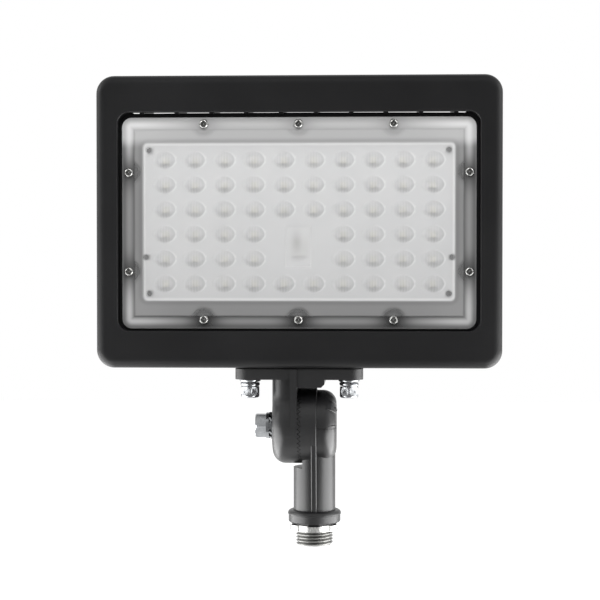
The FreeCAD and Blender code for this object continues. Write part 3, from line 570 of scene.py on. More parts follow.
@dataclass
class ScrewSet:
    """Pan-head screws with a cross recess, all driven along one way of Y.

    Sizes of the top and the shank's radius are parts of the head's radius, and levels are parts of
    its rise. The rest is in millimetres.
    """

    places: Array
    seat_y: float
    out: float
    head: float
    rise: float
    ring_middle: float = 0.74
    ring_half: float = 0.26
    ring_fall: float = 0.55
    dish: float = 0.52
    dish_level: float = 0.62
    shank: float = 0.55
    shank_length: float = 3.0
    recess_depth: float = 0.55
    arm_half: float = 0.2
    arm_length: float = 0.56
    arm_wall: float = 0.1
    recess_tip: float = 0.14
    recess_shade_and_grime: float = 0.6
    top_rows: int = 26
    steps: int = 48

    def surface(self) -> Surface:
        """The screws: a round ring with a cross sunk in its middle, a flat under-face and a shank.

        The ring's height is rise * (1 - fall * ((r - ring middle) / ring half)^2), with r as a part
        of the head's radius, and the dish in the middle is level. The recess sinks by its depth
        wherever a point lies within an arm of the cross, with a short sloping wall, and holds
        painted shade with some grime apart from its tip.

        Returns:
            One surface with all the screws.
        """
        angle = full_turn(self.steps)
        top = np.linspace(0.0, 1.0, self.top_rows)
        crown = self.rise * (1 - self.ring_fall * ((top - self.ring_middle) / self.ring_half) ** 2)
        crown = np.where(top < self.dish, self.rise * self.dish_level, crown)
        profile = np.concatenate([top, [1.0, self.shank, self.shank, 0.0]]) * self.head
        levels = np.concatenate([crown, [0.0, 0.0, -self.shank_length, -self.shank_length]])
        radius, height = carried(profile, self.steps), carried(levels, self.steps)
        rows = slice(0, self.top_rows)
        x = np.abs(radius[rows] * np.cos(angle)) / self.head
        z = np.abs(radius[rows] * np.sin(angle)) / self.head
        arm = np.maximum(np.minimum(self.arm_length - x, self.arm_half - z),
                         np.minimum(self.arm_length - z, self.arm_half - x))
        sunk = soft_edge(arm, self.arm_wall)
        height[rows] -= self.rise * self.recess_depth * sunk
        shade_and_soil = np.zeros(radius.shape)
        # Painted shade with some grime in the recess, paler at its tip.
        shade_and_soil[rows] = self.recess_shade_and_grime * sunk * (1 - bell(top[:, None], self.recess_tip))
        one = turned(radius, height, angle, (0.0, self.out, 0.0), RIGHT)
        one.values[STAINLESS.shade_and_grime] = shade_and_soil.ravel()
        return one.copies(np.insert(self.places, 1, self.seat_y, axis=1))


@dataclass
class Housing(SubAssembly):
    """Finned body with its rear box, driver and seals."""

    finishes: ClassVar[dict[str, Finish]] = {
        "housing": POWDER_COAT, "rear_cover": POWDER_COAT, "rear_gasket": SPONGE,
        "base_gasket": SPONGE, "lens_gasket": SPONGE, "driver": BRUSHED_CASE,
        "driver_screws": STAINLESS,
    }
    screw_head: float = 3.8
    screw_rise: float = 2.4
    screws_across: int = 3
    lip_land: float = 1.85
    lip_reach: float = 97.5
    lip_open: float = 92.6
    lip_stop: float = 1.2
    lip_wide: float = 1.2
    lip_foot: float = 0.3
    lip_low: float = 0.64
    lip_high: float = 0.98
    lip_steps: tuple[int, int] = (196, 24)

    def rain_lip(self) -> Surface:
        """Low lip along the air slots, which keeps rain off the cover.

        Its section is a half round, half width * cos(b) deep and height * sin(b) up on a straight
        foot, and the height goes from low at the ends to high in the middle by 1 - u^2, with u from
        -1 to 1. Past the last slots it rises to close them.

        Returns:
            The lip as one closed skin.
        """
        stations, section = self.lip_steps
        foot_z = box_mm("lens_cover")[1][2] + self.lip_land
        front_y = box_mm("lens_gasket")[1][1]
        along = np.linspace(-1, 1, stations)
        height = self.lip_low + (self.lip_high - self.lip_low) * (1 - along ** 2)
        past = self.lip_reach * np.abs(along) - self.lip_open
        height = height + self.lip_stop * smooth(past / self.lip_wide)
        bend = np.linspace(0, np.pi, section - 1)
        depth = front_y + self.lip_wide / 2 * np.append(1 - np.cos(bend), 1.0)
        level = np.column_stack([foot_z + height[:, None] * np.sin(bend),
                                 np.full(stations, foot_z - self.lip_foot)])
        across = middle("lens_cover")[0] + self.lip_reach * along
        points = np.stack(np.broadcast_arrays(across[:, None], depth[None], level), -1)
        end = np.arange(section)
        return Surface(points.reshape(-1, 3), grid_quads(stations, section, ring=True),
                       [end, end + (stations - 1) * section])

    def build(self) -> None:
        """Builds the lip and the rear cover's screws, which run along its top and its bottom."""
        lip = self.rain_lip().piece("rain_lip", POWDER_COAT, SOFT_EDGE_DEG)
        placed(lip, Body.HEAD, Slot.HOUSING)
        low, high = box_mm("rear_cover_screws")
        first, last = low + self.screw_head, high - self.screw_head
        places = crossings(np.linspace(first[0], last[0], self.screws_across),
                           np.array([first[2], last[2]])).reshape(-1, 2)
        heads = ScrewSet(places, high[1] - self.screw_rise, 1.0, self.screw_head, self.screw_rise)
        placed(heads.surface().piece("rear_screw_set", STAINLESS), Body.HEAD, Slot.STAINLESS,
               "rear_cover_screws")


@dataclass
class LightBoard(SubAssembly):
    """White board with its emitters, screws, connector and leads."""

    finishes: ClassVar[dict[str, Finish]] = {
        "led_board": SOLDER_MASK, "led_chips": PHOSPHOR, "board_screws": BLACK_OXIDE,
        "board_connector": NYLON, "board_leads": SILICONE,
    }


@dataclass
class LensCover(SubAssembly):
    """Moulded cover: milky flange, raised window and a field of fluted lenses.

    Pairs go across X and up Z, and the pocket's place is counted in lenses from the lower left one.
    """

    NO_LENS: ClassVar[float] = 2.0

    count: tuple[int, int] = (10, 6)
    pitch: Pair = (16.6, 13.75)
    lens: Pair = (12.4, 9.4)
    lens_slant: float = 0.5
    lens_blunt: float = 0.3
    lens_power: int = 4
    lens_rise: float = 2.8
    dome_power: float = 1.3
    flute_pitch: float = 1.55
    flute_depth: float = 0.09
    flute_start: float = 2.0
    pocket_cell: Pair = (4.5, 1.5)
    pocket: Pair = (14.0, 22.4)
    pocket_depth: float = 0.7
    corner: float = 5.6
    edge_round: float = 0.8
    thickness: float = 2.4
    window_step: float = 6.3
    window_rise: float = 1.0
    step_width: float = 1.5
    scallop: float = 5.6
    bead_in: float = 4.2
    bead_width: float = 1.9
    bead_rise: float = 0.3
    bead_clear: float = 0.6
    border: float = 11.0
    screw_head: float = 2.6
    screw_rise: float = 1.9
    screw_across: float = 52.8
    screw_up: float = 27.6
    back_solid: float = 0.02
    lens_samples: tuple[int, int] = (31, 19)
    end_samples: int = 17
    border_samples: int = 30
    round_samples: int = 5
    centre: Array = field(init=False)
    half: Array = field(init=False)
    back_y: float = field(init=False)
    flange_y: float = field(init=False)
    lens_middle: Array = field(init=False)
    last: Array = field(init=False)
    pocket_middle: Array = field(init=False)
    screw_seat: float = field(init=False)
    screws: Array = field(init=False)

    def __post_init__(self) -> None:
        """Reads the cover's outline, the lens field and the screws' places from the frame."""
        self.centre = middle("lens_cover")[FACE]
        self.half = half_size("lens_cover")[FACE]
        self.back_y = box_mm("lens_cover")[1][1]
        self.flange_y = self.back_y - self.thickness
        self.lens_middle = middle("led_chips")[FACE]
        self.last = np.array(self.count) - 1
        self.pocket_middle = self.lens_middle + (self.pocket_cell - self.last / 2) * self.pitch
        low, high = box_mm("lens_screws")
        self.screw_seat = low[1] + self.screw_rise
        side, level = np.stack([low + self.screw_head, high - self.screw_head], axis=-1)[FACE]
        across = self.centre[0] + self.screw_across * np.array([-1, 0, 1])
        up = self.lens_middle[1] + self.screw_up * BOTH_SIDES
        self.screws = np.concatenate([crossings(across, level).reshape(-1, 2),
                                      crossings(side, up).reshape(-1, 2)])

    def edge_distance(self, flat: Array) -> Array:
        """Way in from the cover's rounded outline, in millimetres, for points as X and Z."""
        return inside_rounded(flat, self.centre, self.half, self.corner)

    def cells(self, flat: Array) -> Array:
        """Places in the lens field, counted in lenses across and up from the lower left one."""
        return (flat - self.lens_middle) / self.pitch + self.last / 2

    def lens_share(self, flat: Array) -> Array:
        """How far a point lies from the middle of its lens to the lens's edge.

        The share is ((a + slant * c)^n + b^n)^(1/n), with a and b the way along and up as parts of
        the lens's half length and half height, and c = sqrt(b^2 + blunt^2) - blunt: a soft hexagon
        with blunt points at its sides. Places with no lens get a share well past the edge.

        Args:
            flat: Points as X and Z, in millimetres.

        Returns:
            0 in the middle of a lens, 1 at its edge, more outside.
        """
        cell = self.cells(flat)
        near = np.clip(np.round(cell), 0, self.last)
        along, up = np.moveaxis(np.abs(cell - near) * self.pitch / (np.array(self.lens) / 2), -1, 0)
        lean = self.lens_slant * (np.sqrt(up ** 2 + self.lens_blunt ** 2) - self.lens_blunt)
        share = ((along + lean) ** self.lens_power + up ** self.lens_power) ** (1 / self.lens_power)
        gone = (np.abs(near - self.pocket_cell) < 1).all(axis=-1)
        return np.where(gone, self.NO_LENS, share)

    def flute(self, flat: Array) -> Array:
        """Cosine across the lens field, from -1 to 1, with one wave for each flute."""
        return np.cos(2 * np.pi * (flat[..., 0] - self.lens_middle[0]) / self.flute_pitch)

    def pocket_share(self, flat: Array) -> Array:
        """1 inside the middle pocket and 0 outside it, with a short smooth wall."""
        inside = np.array(self.pocket) / 2 - np.abs(flat - self.pocket_middle)
        return soft_edge(inside.min(axis=-1), self.step_width)

    def front(self, flat: Array) -> Array:
        """How far the cover's front stands before the plane of its flange.

        The window rises by a smooth step from a line that runs round the edge and gives way to each
        screw in an arc. A low bead follows the edge and dies away at the screws. Each lens adds
        rise * (1 - share^2)^power and a cosine flute across it, and the pocket takes its depth off.

        Args:
            flat: Points as X and Z, in millimetres.

        Returns:
            Height in millimetres.
        """
        edge = self.edge_distance(flat)
        screw = nearest(flat, self.screws)
        window = smooth(np.minimum(edge - self.window_step, screw - self.scallop) / self.step_width)
        clear = smooth(screw / self.scallop - self.bead_clear)
        bead = bell(edge - self.bead_in, self.bead_width) * clear
        dome = np.clip(1 - self.lens_share(flat) ** 2, 0.0, 1.0) ** self.dome_power
        fluted = self.flute_depth * self.flute(flat) * smooth(self.flute_start * dome)
        lens = np.minimum(self.lens_rise * dome + fluted, self.lens_rise)
        pocket = self.pocket_depth * self.pocket_share(flat)
        return self.window_rise * window + self.bead_rise * bead * (1 - window) + lens - pocket

    def lines(self, axis: int) -> Array:
        """Grid lines of the window along one axis, through the lenses, the gaps and the ends.

        A lens has its samples, a gap between two lenses its quarters, and an end even steps.

        Args:
            axis: 0 for the lines across X, 1 for those up Z.

        Returns:
            Rising coordinates in millimetres.
        """
        pitch, lens = self.pitch[axis], self.lens[axis]
        places = np.arange(self.count[axis]) - self.last[axis] / 2
        middles = self.lens_middle[axis] + places * pitch
        local = np.linspace(-lens / 2, lens / 2, self.lens_samples[axis])
        inside = (middles[:, None] + local).ravel()
        gap = lens / 2 + (pitch - lens) * np.array([0.25, 0.5, 0.75])
        gaps = (middles[:-1, None] + gap).ravel()
        ends = self.centre[axis] + (self.half[axis] - self.border) * BOTH_SIDES
        near = np.linspace(ends, inside[[0, -1]], self.end_samples)[:-1].ravel()
        return np.sort(np.concatenate([inside, gaps, near]))

    def outline(self, rim: Array) -> Array:
        """Points of the cover's rounded outline that answer to points on the window's rim.

        Each side of the rim is stretched over the same side of the outline, from the middle of one
        corner's arc to the middle of the next, by length: straight first, then round the arc.

        Args:
            rim: Points round the window's rectangular rim, as X and Z.

        Returns:
            Points on the outline, as X and Z.
        """
        part = (rim - self.centre) / (self.half - self.border)
        level = np.abs(part[:, 1]) >= np.abs(part[:, 0])
        along = np.where(level, part[:, 0], part[:, 1])
        far = np.sign(np.where(level, part[:, 1], part[:, 0]))
        straight = np.where(level, self.half[0], self.half[1]) - self.corner
        reach = np.where(level, self.half[1], self.half[0])
        length = np.abs(along) * (straight + self.corner * np.pi / 4)
        turn = np.maximum(length - straight, 0.0) / self.corner
        run = np.sign(along) * (np.minimum(length, straight) + self.corner * np.sin(turn))
        rise = far * (reach - self.corner * (1 - np.cos(turn)))
        sides = np.where(level[:, None], np.stack([run, rise], -1), np.stack([rise, run], -1))
        return self.centre + sides

    def moulding(self) -> Surface:
        """The whole cover as one closed skin.

        The window is a grid of X and Z lines. A ring of rows joins its rim to the rounded outline,
        goes over a round edge and down the side, and one flat cap closes the back.

        Returns:
            The skin, with its milkiness and its see-through at each point.
        """
        window = crossings(self.lines(0), self.lines(1))
        rim = np.concatenate([window[0, :-1], window[:-1, -1], window[-1, :0:-1], window[:0:-1, 0]])
        outside = self.outline(rim)
        turn = np.linspace(0, np.pi / 2, self.round_samples)
        inset = self.edge_round * (1 - np.cos(turn)) / self.border
        drop = self.edge_round * (1 - np.sin(turn))
        flat_share = np.linspace(inset[-1], 1.0, self.border_samples)[1:]
        share = np.concatenate([[0.0], inset, flat_share])
        ring = outside + share[:, None, None] * (rim - outside)
        fall = np.concatenate([[0.0], drop, np.zeros(len(flat_share))])
        ring_y = self.flange_y - self.front(ring) + fall[:, None]
        ring_y[0] = self.back_y
        window_y = self.flange_y - self.front(window)
        flat = np.concatenate([window.reshape(-1, 2), ring.reshape(-1, 2)])
        depth = np.concatenate([window_y.ravel(), ring_y.ravel()])
        quads = np.concatenate([grid_quads(*window.shape[:2], ring=False),
                                grid_quads(*ring.shape[:2], ring=True) + window_y.size])
        back = np.arange(len(rim)) + window_y.size
        looks = CoverHaze(self)
        solid = looks.solid(flat)
        solid[back] = self.back_solid
        return Surface(np.insert(flat, 1, depth, axis=1), quads, [back],
                       {POLYCARBONATE.milk_light_and_shade: looks.level(flat), POLYCARBONATE.body: solid})

    def build(self) -> None:
        """Builds the cover and its screws."""
        placed(self.moulding().piece("cover_moulding", POLYCARBONATE, SOFT_EDGE_DEG), Body.HEAD,
               Slot.OPTIC, "lens_cover")
        heads = ScrewSet(self.screws, self.screw_seat, -1.0, self.screw_head, self.screw_rise)
        placed(heads.surface().piece("cover_screw_set", STAINLESS), Body.HEAD, Slot.STAINLESS,
               "lens_screws")


@dataclass
class CoverHaze:
    """How milky, bright and solid the moulded cover looks at each of its points, with painted light
    and shade in its brightness.

    Levels go from 0 for black to 1 for white. A gain is added to a level, and a loss taken off it.
    Sizes are in millimetres, apart from those that a comment gives in parts of something.
    """

    cover: LensCover
    # Top and foot: where each starts and how it comes in, in parts of the cover's half height.
    top_start: float = 0.7
    foot_start: float = 0.8
    end_fade: float = 0.12
    # Flange: pale on a band along its edge and in the corners, dark where the screws press it down.
    flange_level: float = 0.1
    band_in: float = 4.2
    band_width: float = 2.3
    band_gain: float = 0.15
    band_top_loss: float = 0.55
    corner_gain: float = 0.24
    corner_top_gain: float = 0.24
    corner_width: float = 20.0
    edge_gain: float = 0.1
    edge_width: float = 0.8
    press_loss: float = 0.06
    press_width: float = 9.0
    flange_top_gain: float = 0.32
    flange_foot_loss: float = 0.03
    # Rails between flange and board, with painted shade on the bosses round the screws and along
    # the step.
    rail_level: float = 0.35
    rail_top_gain: float = 0.31
    rail_foot_loss: float = 0.02
    rail_corner_gain: float = 0.07
    halo_loss: float = 0.08
    halo_width: float = 1.8
    boss_loss: float = 0.12
    boss_fade: float = 1.5
    boss_top_share: float = 0.6
    dusk_loss: float = 0.05
    dusk_out: float = 1.2
    dusk_width: float = 1.0
    step_shade_loss: float = 0.24
    # Panel over the white board, painted paler upwards for the light from above, with a light line
    # along the board's edge.
    panel_level: float = 0.745
    panel_up_light_gain: float = 0.09
    board_line_gain: float = 0.2
    board_line_in: float = 1.0
    board_line_width: float = 0.6
    board_fade: float = 0.8
    board_corner: float = 3.0
    # Lenses: painted shade on their rim and flutes and a painted highlight round them, in parts of
    # a lens's half size.
    lens_loss: float = 0.015
    lens_edge: float = 1.05
    lens_fade: float = 0.1
    rim_start: float = 0.6
    rim_fade: float = 0.25
    rim_right_loss: float = 0.07
    rim_low_gain: float = 0.05
    line_at: float = 1.04
    line_width: float = 0.08
    line_gain: float = 0.07
    line_right_gain: float = 0.09
    flutes_width: float = 0.6
    flutes_start: float = 0.8
    flutes_drop: float = 0.5
    flutes_loss: float = 0.03
    flutes_wave: float = 0.045
    # Pocket, with the connector's painted shade in it and a painted highlight along its wall.
    connector_off: Pair = (-1.0, 2.4)
    connector_size: Pair = (2.8, 5.6)
    connector_loss: float = 0.2
    wall_gain: float = 0.09
    pocket_gain: float = 0.03
    # Dark dots that show through: the board's screws and end notches.
    board_screw: float = 1.9
    notch_drop: float = 19.6
    notch_depth: float = 3.6
    dot_radius: float = 1.7
    dot_fade: float = 1.2
    dot_share: float = 0.5
    # How much light the front stops.
    flange_solid: float = 0.9
    rail_clear: float = 0.3
    panel_clear: float = 0.15
    board: Array = field(init=False)
    board_half: Array = field(init=False)
    dots: Array = field(init=False)

    def __post_init__(self) -> None:
        """Reads the board and the dark dots on it from the frame."""
        self.board = middle("led_board")[FACE]
        self.board_half = half_size("led_board")[FACE]
        screw_reach = half_size("board_screws")[FACE] - self.board_screw
        screws = crossings(BOTH_SIDES, BOTH_SIDES).reshape(-1, 2) * screw_reach
        notch_reach = self.board_half[0] - self.notch_depth / 2
        notches = np.array([[-notch_reach, -self.notch_drop], [notch_reach, -self.notch_drop]])
        self.dots = np.concatenate([middle("board_screws")[FACE] + screws,
                                    self.cover.lens_middle + notches])

    def height(self, flat: Array) -> Array:
        """Height on the cover, from -1 at its bottom to 1 at its top."""
        return (flat[..., 1] - self.cover.centre[1]) / self.cover.half[1]

    def top(self, flat: Array) -> Array:
        """1 along the top rail, which gets light from the air slots, and 0 below it."""
        return smooth((self.height(flat) - self.top_start) / self.end_fade)

    def foot(self, flat: Array) -> Array:
        """1 along the bottom rail and 0 above it."""
        return smooth((-self.height(flat) - self.foot_start) / self.end_fade)

    def lifted(self, flat: Array) -> Array:
        """1 in the corners, where the cover lifts off its gasket, and 0 far from them."""
        out = np.abs(flat - self.cover.centre) - self.cover.half + self.cover.corner
        return bell(np.linalg.norm(out, axis=-1), self.corner_width)

    def on_board(self, flat: Array) -> Array:
        """Way in from the rounded edge of the white board behind the cover, in millimetres."""
        return inside_rounded(flat, self.board, self.board_half, self.board_corner)

    def over_board(self, flat: Array) -> Array:
        """1 over the white board and 0 round it."""
        return soft_edge(self.on_board(flat), self.board_fade)

    def past_step(self, flat: Array) -> Array:
        """0 on the flange and 1 on the rails, with a smooth step between them."""
        inside = self.cover.edge_distance(flat) - self.cover.window_step
        return smooth(inside / self.cover.step_width)

    def flange(self, flat: Array) -> Array:
        """Level of the flange: a bell for each of its band, corners, edge and pressed places.

        Args:
            flat: Points as X and Z, in millimetres.

        Returns:
            The level for each point.
        """
        edge = self.cover.edge_distance(flat)
        press = bell(nearest(flat, self.cover.screws), self.press_width)
        top = self.top(flat)
        corners = (self.corner_gain + self.corner_top_gain * top) * self.lifted(flat)
        band = bell(edge - self.band_in, self.band_width) * (1 - self.band_top_loss * top)
        return (self.flange_level + band * (self.band_gain * (1 - press) + corners)
                + self.edge_gain * bell(edge, self.edge_width) - self.press_loss * press
                + self.flange_top_gain * top - self.flange_foot_loss * self.foot(flat))

    def rail(self, flat: Array) -> Array:
        """Level of the rails: painted shade on and round the screws' bosses, and darker just before
        the board.

        Args:
            flat: Points as X and Z, in millimetres.

        Returns:
            The level for each point.
        """
        # Painted shade on and round the screws' bosses.
        boss_in = self.cover.scallop - nearest(flat, self.cover.screws)
        top = self.top(flat)
        boss = soft_edge(boss_in, self.boss_fade) * (1 - self.boss_top_share * top)
        dusk = bell(self.on_board(flat) + self.dusk_out, self.dusk_width)
        return (self.rail_level + self.rail_top_gain * top - self.rail_foot_loss * self.foot(flat)
                - self.halo_loss * bell(boss_in, self.halo_width) - self.boss_loss * boss
                + self.rail_corner_gain * self.lifted(flat) - self.dusk_loss * dusk)

    def panel(self, flat: Array) -> Array:
        """Level over the board: paler upwards and along its edge, shaded in lenses and pocket.

        Args:
            flat: Points as X and Z, in millimetres.

        Returns:
            The level for each point.
        """
        line = bell(self.on_board(flat) - self.board_line_in, self.board_line_width)
        # Painted light: the panel is paler upwards, as the light falls from above.
        level = self.panel_level + self.panel_up_light_gain * self.height(flat)
        shade = self.lens_shade(flat) + self.pocket_shade(flat)
        return level - shade + self.board_line_gain * line

    def lens_shade(self, flat: Array) -> Array:
        """How much darker the plastic looks in a lens, where it gathers the emitter's shade.

        The lens is a little dark, with painted shade on its flutes in the lower middle: a cosine
        across under a bell of the way across. Its right half is painted darker towards the edge and
        its left half paler, and a thin painted highlight runs round its right point. Painted light
        lifts its lower edge, against the shadow that the lens's relief casts there.

        Args:
            flat: Points as X and Z, in millimetres.

        Returns:
            The part of the level to take away.
        """
        share = self.cover.lens_share(flat)
        cell = self.cover.cells(flat)
        parts = 2 * (cell - np.round(cell)) * self.cover.pitch / self.cover.lens
        side, up = np.moveaxis(parts, -1, 0)
        # Painted shade in the lens and on its flutes, a painted highlight round its point, painted
        # light on its lower edge.
        inside = smooth((self.lens_edge - share) / self.lens_fade)
        rim = inside * smooth((share - self.rim_start) / self.rim_fade)
        line = bell(share - self.line_at, self.line_width) * np.abs(side)
        low = smooth(self.flutes_start - self.flutes_drop * up)
        wave = self.flutes_loss - self.flutes_wave * self.cover.flute(flat)
        fluted = bell(side, self.flutes_width) * low * wave
        return (inside * (self.lens_loss + fluted) + self.rim_right_loss * rim * side
                - line * (self.line_gain + self.line_right_gain * side)
                - self.rim_low_gain * rim * smooth(-up))

    def pocket_shade(self, flat: Array) -> Array:
        """Soft shade of the connector in the paler pocket, less the light of the pocket itself.

        The shade is a bell of two widths. A painted highlight follows the wall round the pocket's
        lower half: 4 * s * (1 - s), with s from 0 outside the pocket to 1 inside it.

        Args:
            flat: Points as X and Z, in millimetres.

        Returns:
            The part of the level to take away.
        """
        share = self.cover.pocket_share(flat)
        away = flat - self.cover.pocket_middle
        low = soft_edge(-away[..., 1], self.cover.pocket[1])
        shade = np.exp(-(((away - self.connector_off) / self.connector_size) ** 2).sum(axis=-1))
        # A painted highlight along the pocket's wall.
        wall = 4 * share * (1 - share)
        return self.connector_loss * shade - self.wall_gain * wall * low - self.pocket_gain * share

    def level(self, flat: Array) -> Array:
        """How milky and bright the plastic is, from 0 to 1.

        The flange goes over to the rails at the window's step, which is a soft line of painted
        shade, and the rails to the panel at the board's edge. The dots darken what they lie under.

        Args:
            flat: Points as X and Z, in millimetres.

        Returns:
            The level for each point.
        """
        flange, step = self.flange(flat), self.past_step(flat)
        # The window's step gets a soft line of painted shade.
        level = flange + (self.rail(flat) - flange) * step - self.step_shade_loss * step * (1 - step)
        level = level + (self.panel(flat) - level) * self.over_board(flat)
        dots = soft_edge(self.dot_radius - nearest(flat, self.dots), self.dot_fade)
        return np.clip(level * (1 - self.dot_share * dots), 0.0, 1.0)

    def solid(self, flat: Array) -> Array:
        """How much of the light the front stops: most in the flange, least over the board."""
        rail = self.flange_solid - self.rail_clear * self.past_step(flat)
        return rail - self.panel_clear * self.over_board(flat)


@dataclass
class PlateScrews:
    """Knurled cap screws under the knuckle's plate, each with a spring washer and a plain one."""

    shank: float = 3.0
    hole: float = 3.2
    socket: float = 5.0
    socket_depth: float = 3.2
    socket_edge: float = 0.3
    head_round: float = 1.0
    seat_edge: float = 0.3
    knurls: int = 42
    knurl_depth: float = 0.16
    knurl_fade: float = 0.4
    split_deg: float = 14.0
    lead: float = 0.5
    section_power: float = 2.8
    section_steps: int = 32
    round_rows: int = 8
    side_rows: int = 10
    steps: int = 252

    def spread(self, node: str, one: Surface) -> Surface:
        """Two copies of a shape, at the two screws' places.

        Args:
            node: The CAD node that the shape stands for.
            one: The shape round the Z axis.

        Returns:
            One surface with both.
        """
        low, high = box_mm(node)
        reach = (high[1] - low[1]) / 2
        level = (low[1] + high[1]) / 2
        return one.copies(np.array([[low[0] + reach, level, 0.0], [high[0] - reach, level, 0.0]]))

    def ring(self, node: str, angle: Array, lead: float) -> Surface:
        """A rounded section carried round the Z axis.

        The section is hole + half width * (1 + cos^(2/n)) out from the axis and half thickness *
        sin^(2/n) up, with the signs kept. It climbs by the lead from the first angle to the last.

        Args:
            node: The CAD node that gives the outer radius and the levels.
            angle: Angles in radians, from the front.
            lead: Climb in millimetres.

        Returns:
            The ring, closed between its last angle and its first.
        """
        low, high = box_mm(node)
        turn = np.linspace(0, 2 * np.pi, self.section_steps)
        out, up = (np.sign(wave) * np.abs(wave) ** (2 / self.section_power)
                   for wave in (np.cos(turn), np.sin(turn)))
        half = ((high[1] - low[1]) / 2 - self.hole) / 2
        climb = lead * (np.linspace(0, 1, len(angle)) - 0.5)
        radius = carried(self.hole + half * (1 + out), len(angle))
        height = (low[2] + high[2]) / 2 + (high[2] - low[2] - lead) / 2 * up[:, None] + climb
        return turned(radius, height, angle, UP, FRONT)

    def washers(self) -> Surface:
        """Plain washers: closed rings with soft edges."""
        node = "base_flat_washers"
        return self.spread(node, self.ring(node, full_turn(self.steps), 0.0))

    def springs(self) -> Surface:
        """Spring washers: one turn of a coil, split at the front, with its two ends closed.

        Returns:
            One surface with both washers.
        """
        node = "base_spring_washers"
        gap = math.radians(self.split_deg) / 2
        coil = self.ring(node, np.linspace(gap, 2 * np.pi - gap, self.steps), self.lead)
        end = np.arange(self.section_steps - 1) * self.steps
        open_quads = grid_quads(self.section_steps, self.steps, ring=False)
        return self.spread(node, Surface(coil.points, open_quads, [end, end + self.steps - 1]))

    def screws(self) -> Surface:
        """Cap screws: hexagon socket, rounded head with a knurled side, and shank.

        The socket's radius is half its flats / cos(a), with a the angle from the nearest flat. The
        knurl takes depth * (1 + cos(n * angle)) / 2 off the head's side and fades at both ends.

        Returns:
            One surface with both screws.
        """
        low, high = box_mm("base_bolts")
        seat = box_mm("base_spring_washers")[0][2]
        head = (high[1] - low[1]) / 2
        angle = full_turn(self.steps)
        flat = np.mod(angle + np.pi / 6, np.pi / 3) - np.pi / 6
        hexagon = self.socket / 2 / np.cos(flat)
        bend = np.linspace(0, np.pi / 2, self.round_rows)
        edge = head - self.head_round * (1 - np.sin(bend))
        edge_z = low[2] + self.head_round * (1 - np.cos(bend))
        side_z = np.linspace(edge_z[-1], seat - self.seat_edge, self.side_rows)[1:]
        up_side = (side_z - edge_z[-1]) / (side_z[-1] - edge_z[-1])
        fade = np.sin(np.pi * up_side) ** self.knurl_fade
        knurl = self.knurl_depth * (1 + np.cos(self.knurls * angle)) / 2
        sunk = low[2] + self.socket_depth
        socket = np.stack([0 * hexagon, hexagon, hexagon, hexagon + self.socket_edge])
        tail = np.array([head - self.seat_edge, self.shank, self.shank, 0.0])
        radius = np.concatenate([socket, carried(edge, self.steps), head - fade[:, None] * knurl,
                                 carried(tail, self.steps)])
        level = np.concatenate([[sunk, sunk, low[2] + self.socket_edge, low[2]], edge_z, side_z,
                                [seat, seat, high[2], high[2]]])
        one = turned(radius, carried(level, self.steps), angle, UP, RIGHT)
        return self.spread("base_bolts", one)


@dataclass(frozen=True)
class Tick:
    """A raised mark on the dome's rounded edge.

    It has a turn round the pivot from the top towards the front, a start and an end on the edge's
    arc from the dome's flank, and a rise out of the dome in millimetres.
    """

    turn_deg: float
    start_deg: float
    end_deg: float
    rise: float


@dataclass
class Knuckle(SubAssembly):
    """Toothed knuckle with its plate, bolts and clamp bolt."""

    finishes: ClassVar[dict[str, Finish]] = {
        "knuckle_base": ENAMEL, "knuckle_stem": ENAMEL, "pivot_bolt": BRIGHT_ZINC,
        "pivot_washer": BRIGHT_ZINC, "tooth_washer": BRIGHT_ZINC,
    }
    dome_wall: float = 4.8
    dome_radius: float = 20.3
    dome_edge: float = 7.5
    tick_half: float = 0.6
    ticks: tuple[Tick, ...] = (
        Tick(22, 22, 80, 0.42), Tick(34, 25, 72, 0.42), Tick(45, 62, 92, 0.85),
        Tick(57, 10, 82, 0.42), Tick(86, 26, 93, 0.36))
    stations: int = 25
    steps: int = 16

    def tick(self, mark: Tick) -> Surface:
        """One raised tick that lies along the dome's rounded edge.

        Its middle follows the edge's arc, x = edge * sin(a) and radius = core + edge * cos(a), at
        one turn round the pivot. Each ring is rise * sin(b) * normal + half * cos(b) * way round,
        and both shrink towards the ends by sqrt(1 - u^2), with u from -1 to 1 along the tick.

        Args:
            mark: Where the tick lies and how far it stands out.

        Returns:
            The tick as one closed skin.
        """
        pivot = middle("pivot_bolt")
        pivot[0] = box_mm("pivot_bolt")[1][0] + self.dome_wall - self.dome_edge
        part = np.sin(np.linspace(-np.pi / 2, np.pi / 2, self.stations))
        arc = np.radians((mark.start_deg + mark.end_deg) / 2
                         + part * (mark.end_deg - mark.start_deg) / 2)
        ring = full_turn(self.steps)[:, None]
        turn = math.radians(mark.turn_deg)
        out = np.array([0.0, -math.sin(turn), math.cos(turn)])
        way = np.array([0.0, -math.cos(turn), -math.sin(turn)])
        normal = np.sin(arc)[:, None] * np.array(RIGHT) + np.cos(arc)[:, None] * out
        line = pivot + (self.dome_radius - self.dome_edge) * out + self.dome_edge * normal
        swell = np.sqrt(np.clip(1 - part ** 2, 0.0, 1.0))[:, None, None]
        lift = mark.rise * np.sin(ring) * normal[:, None, :]
        spread = self.tick_half * np.cos(ring) * way
        points = line[:, None, :] + swell * (lift + spread)
        return Surface(points.reshape(-1, 3), grid_quads(self.stations, self.steps, ring=True))

    def build(self) -> None:
        """Builds the aiming ticks that are cast on the dome, and the screws that hold the plate."""
        marks = Surface.joined([self.tick(mark) for mark in self.ticks])
        placed(marks.piece("aiming_ticks", ENAMEL, SOFT_EDGE_DEG), Body.STEM, Slot.KNUCKLE)
        stack = PlateScrews()
        pieces = {"base_bolts": ("cap_screw_set", stack.screws()),
                  "base_spring_washers": ("spring_washer_set", stack.springs()),
                  "base_flat_washers": ("plain_washer_set", stack.washers())}
        for node, (name, surface) in pieces.items():
            placed(surface.piece(name, BRIGHT_ZINC), Body.HEAD, Slot.PLATED, node)


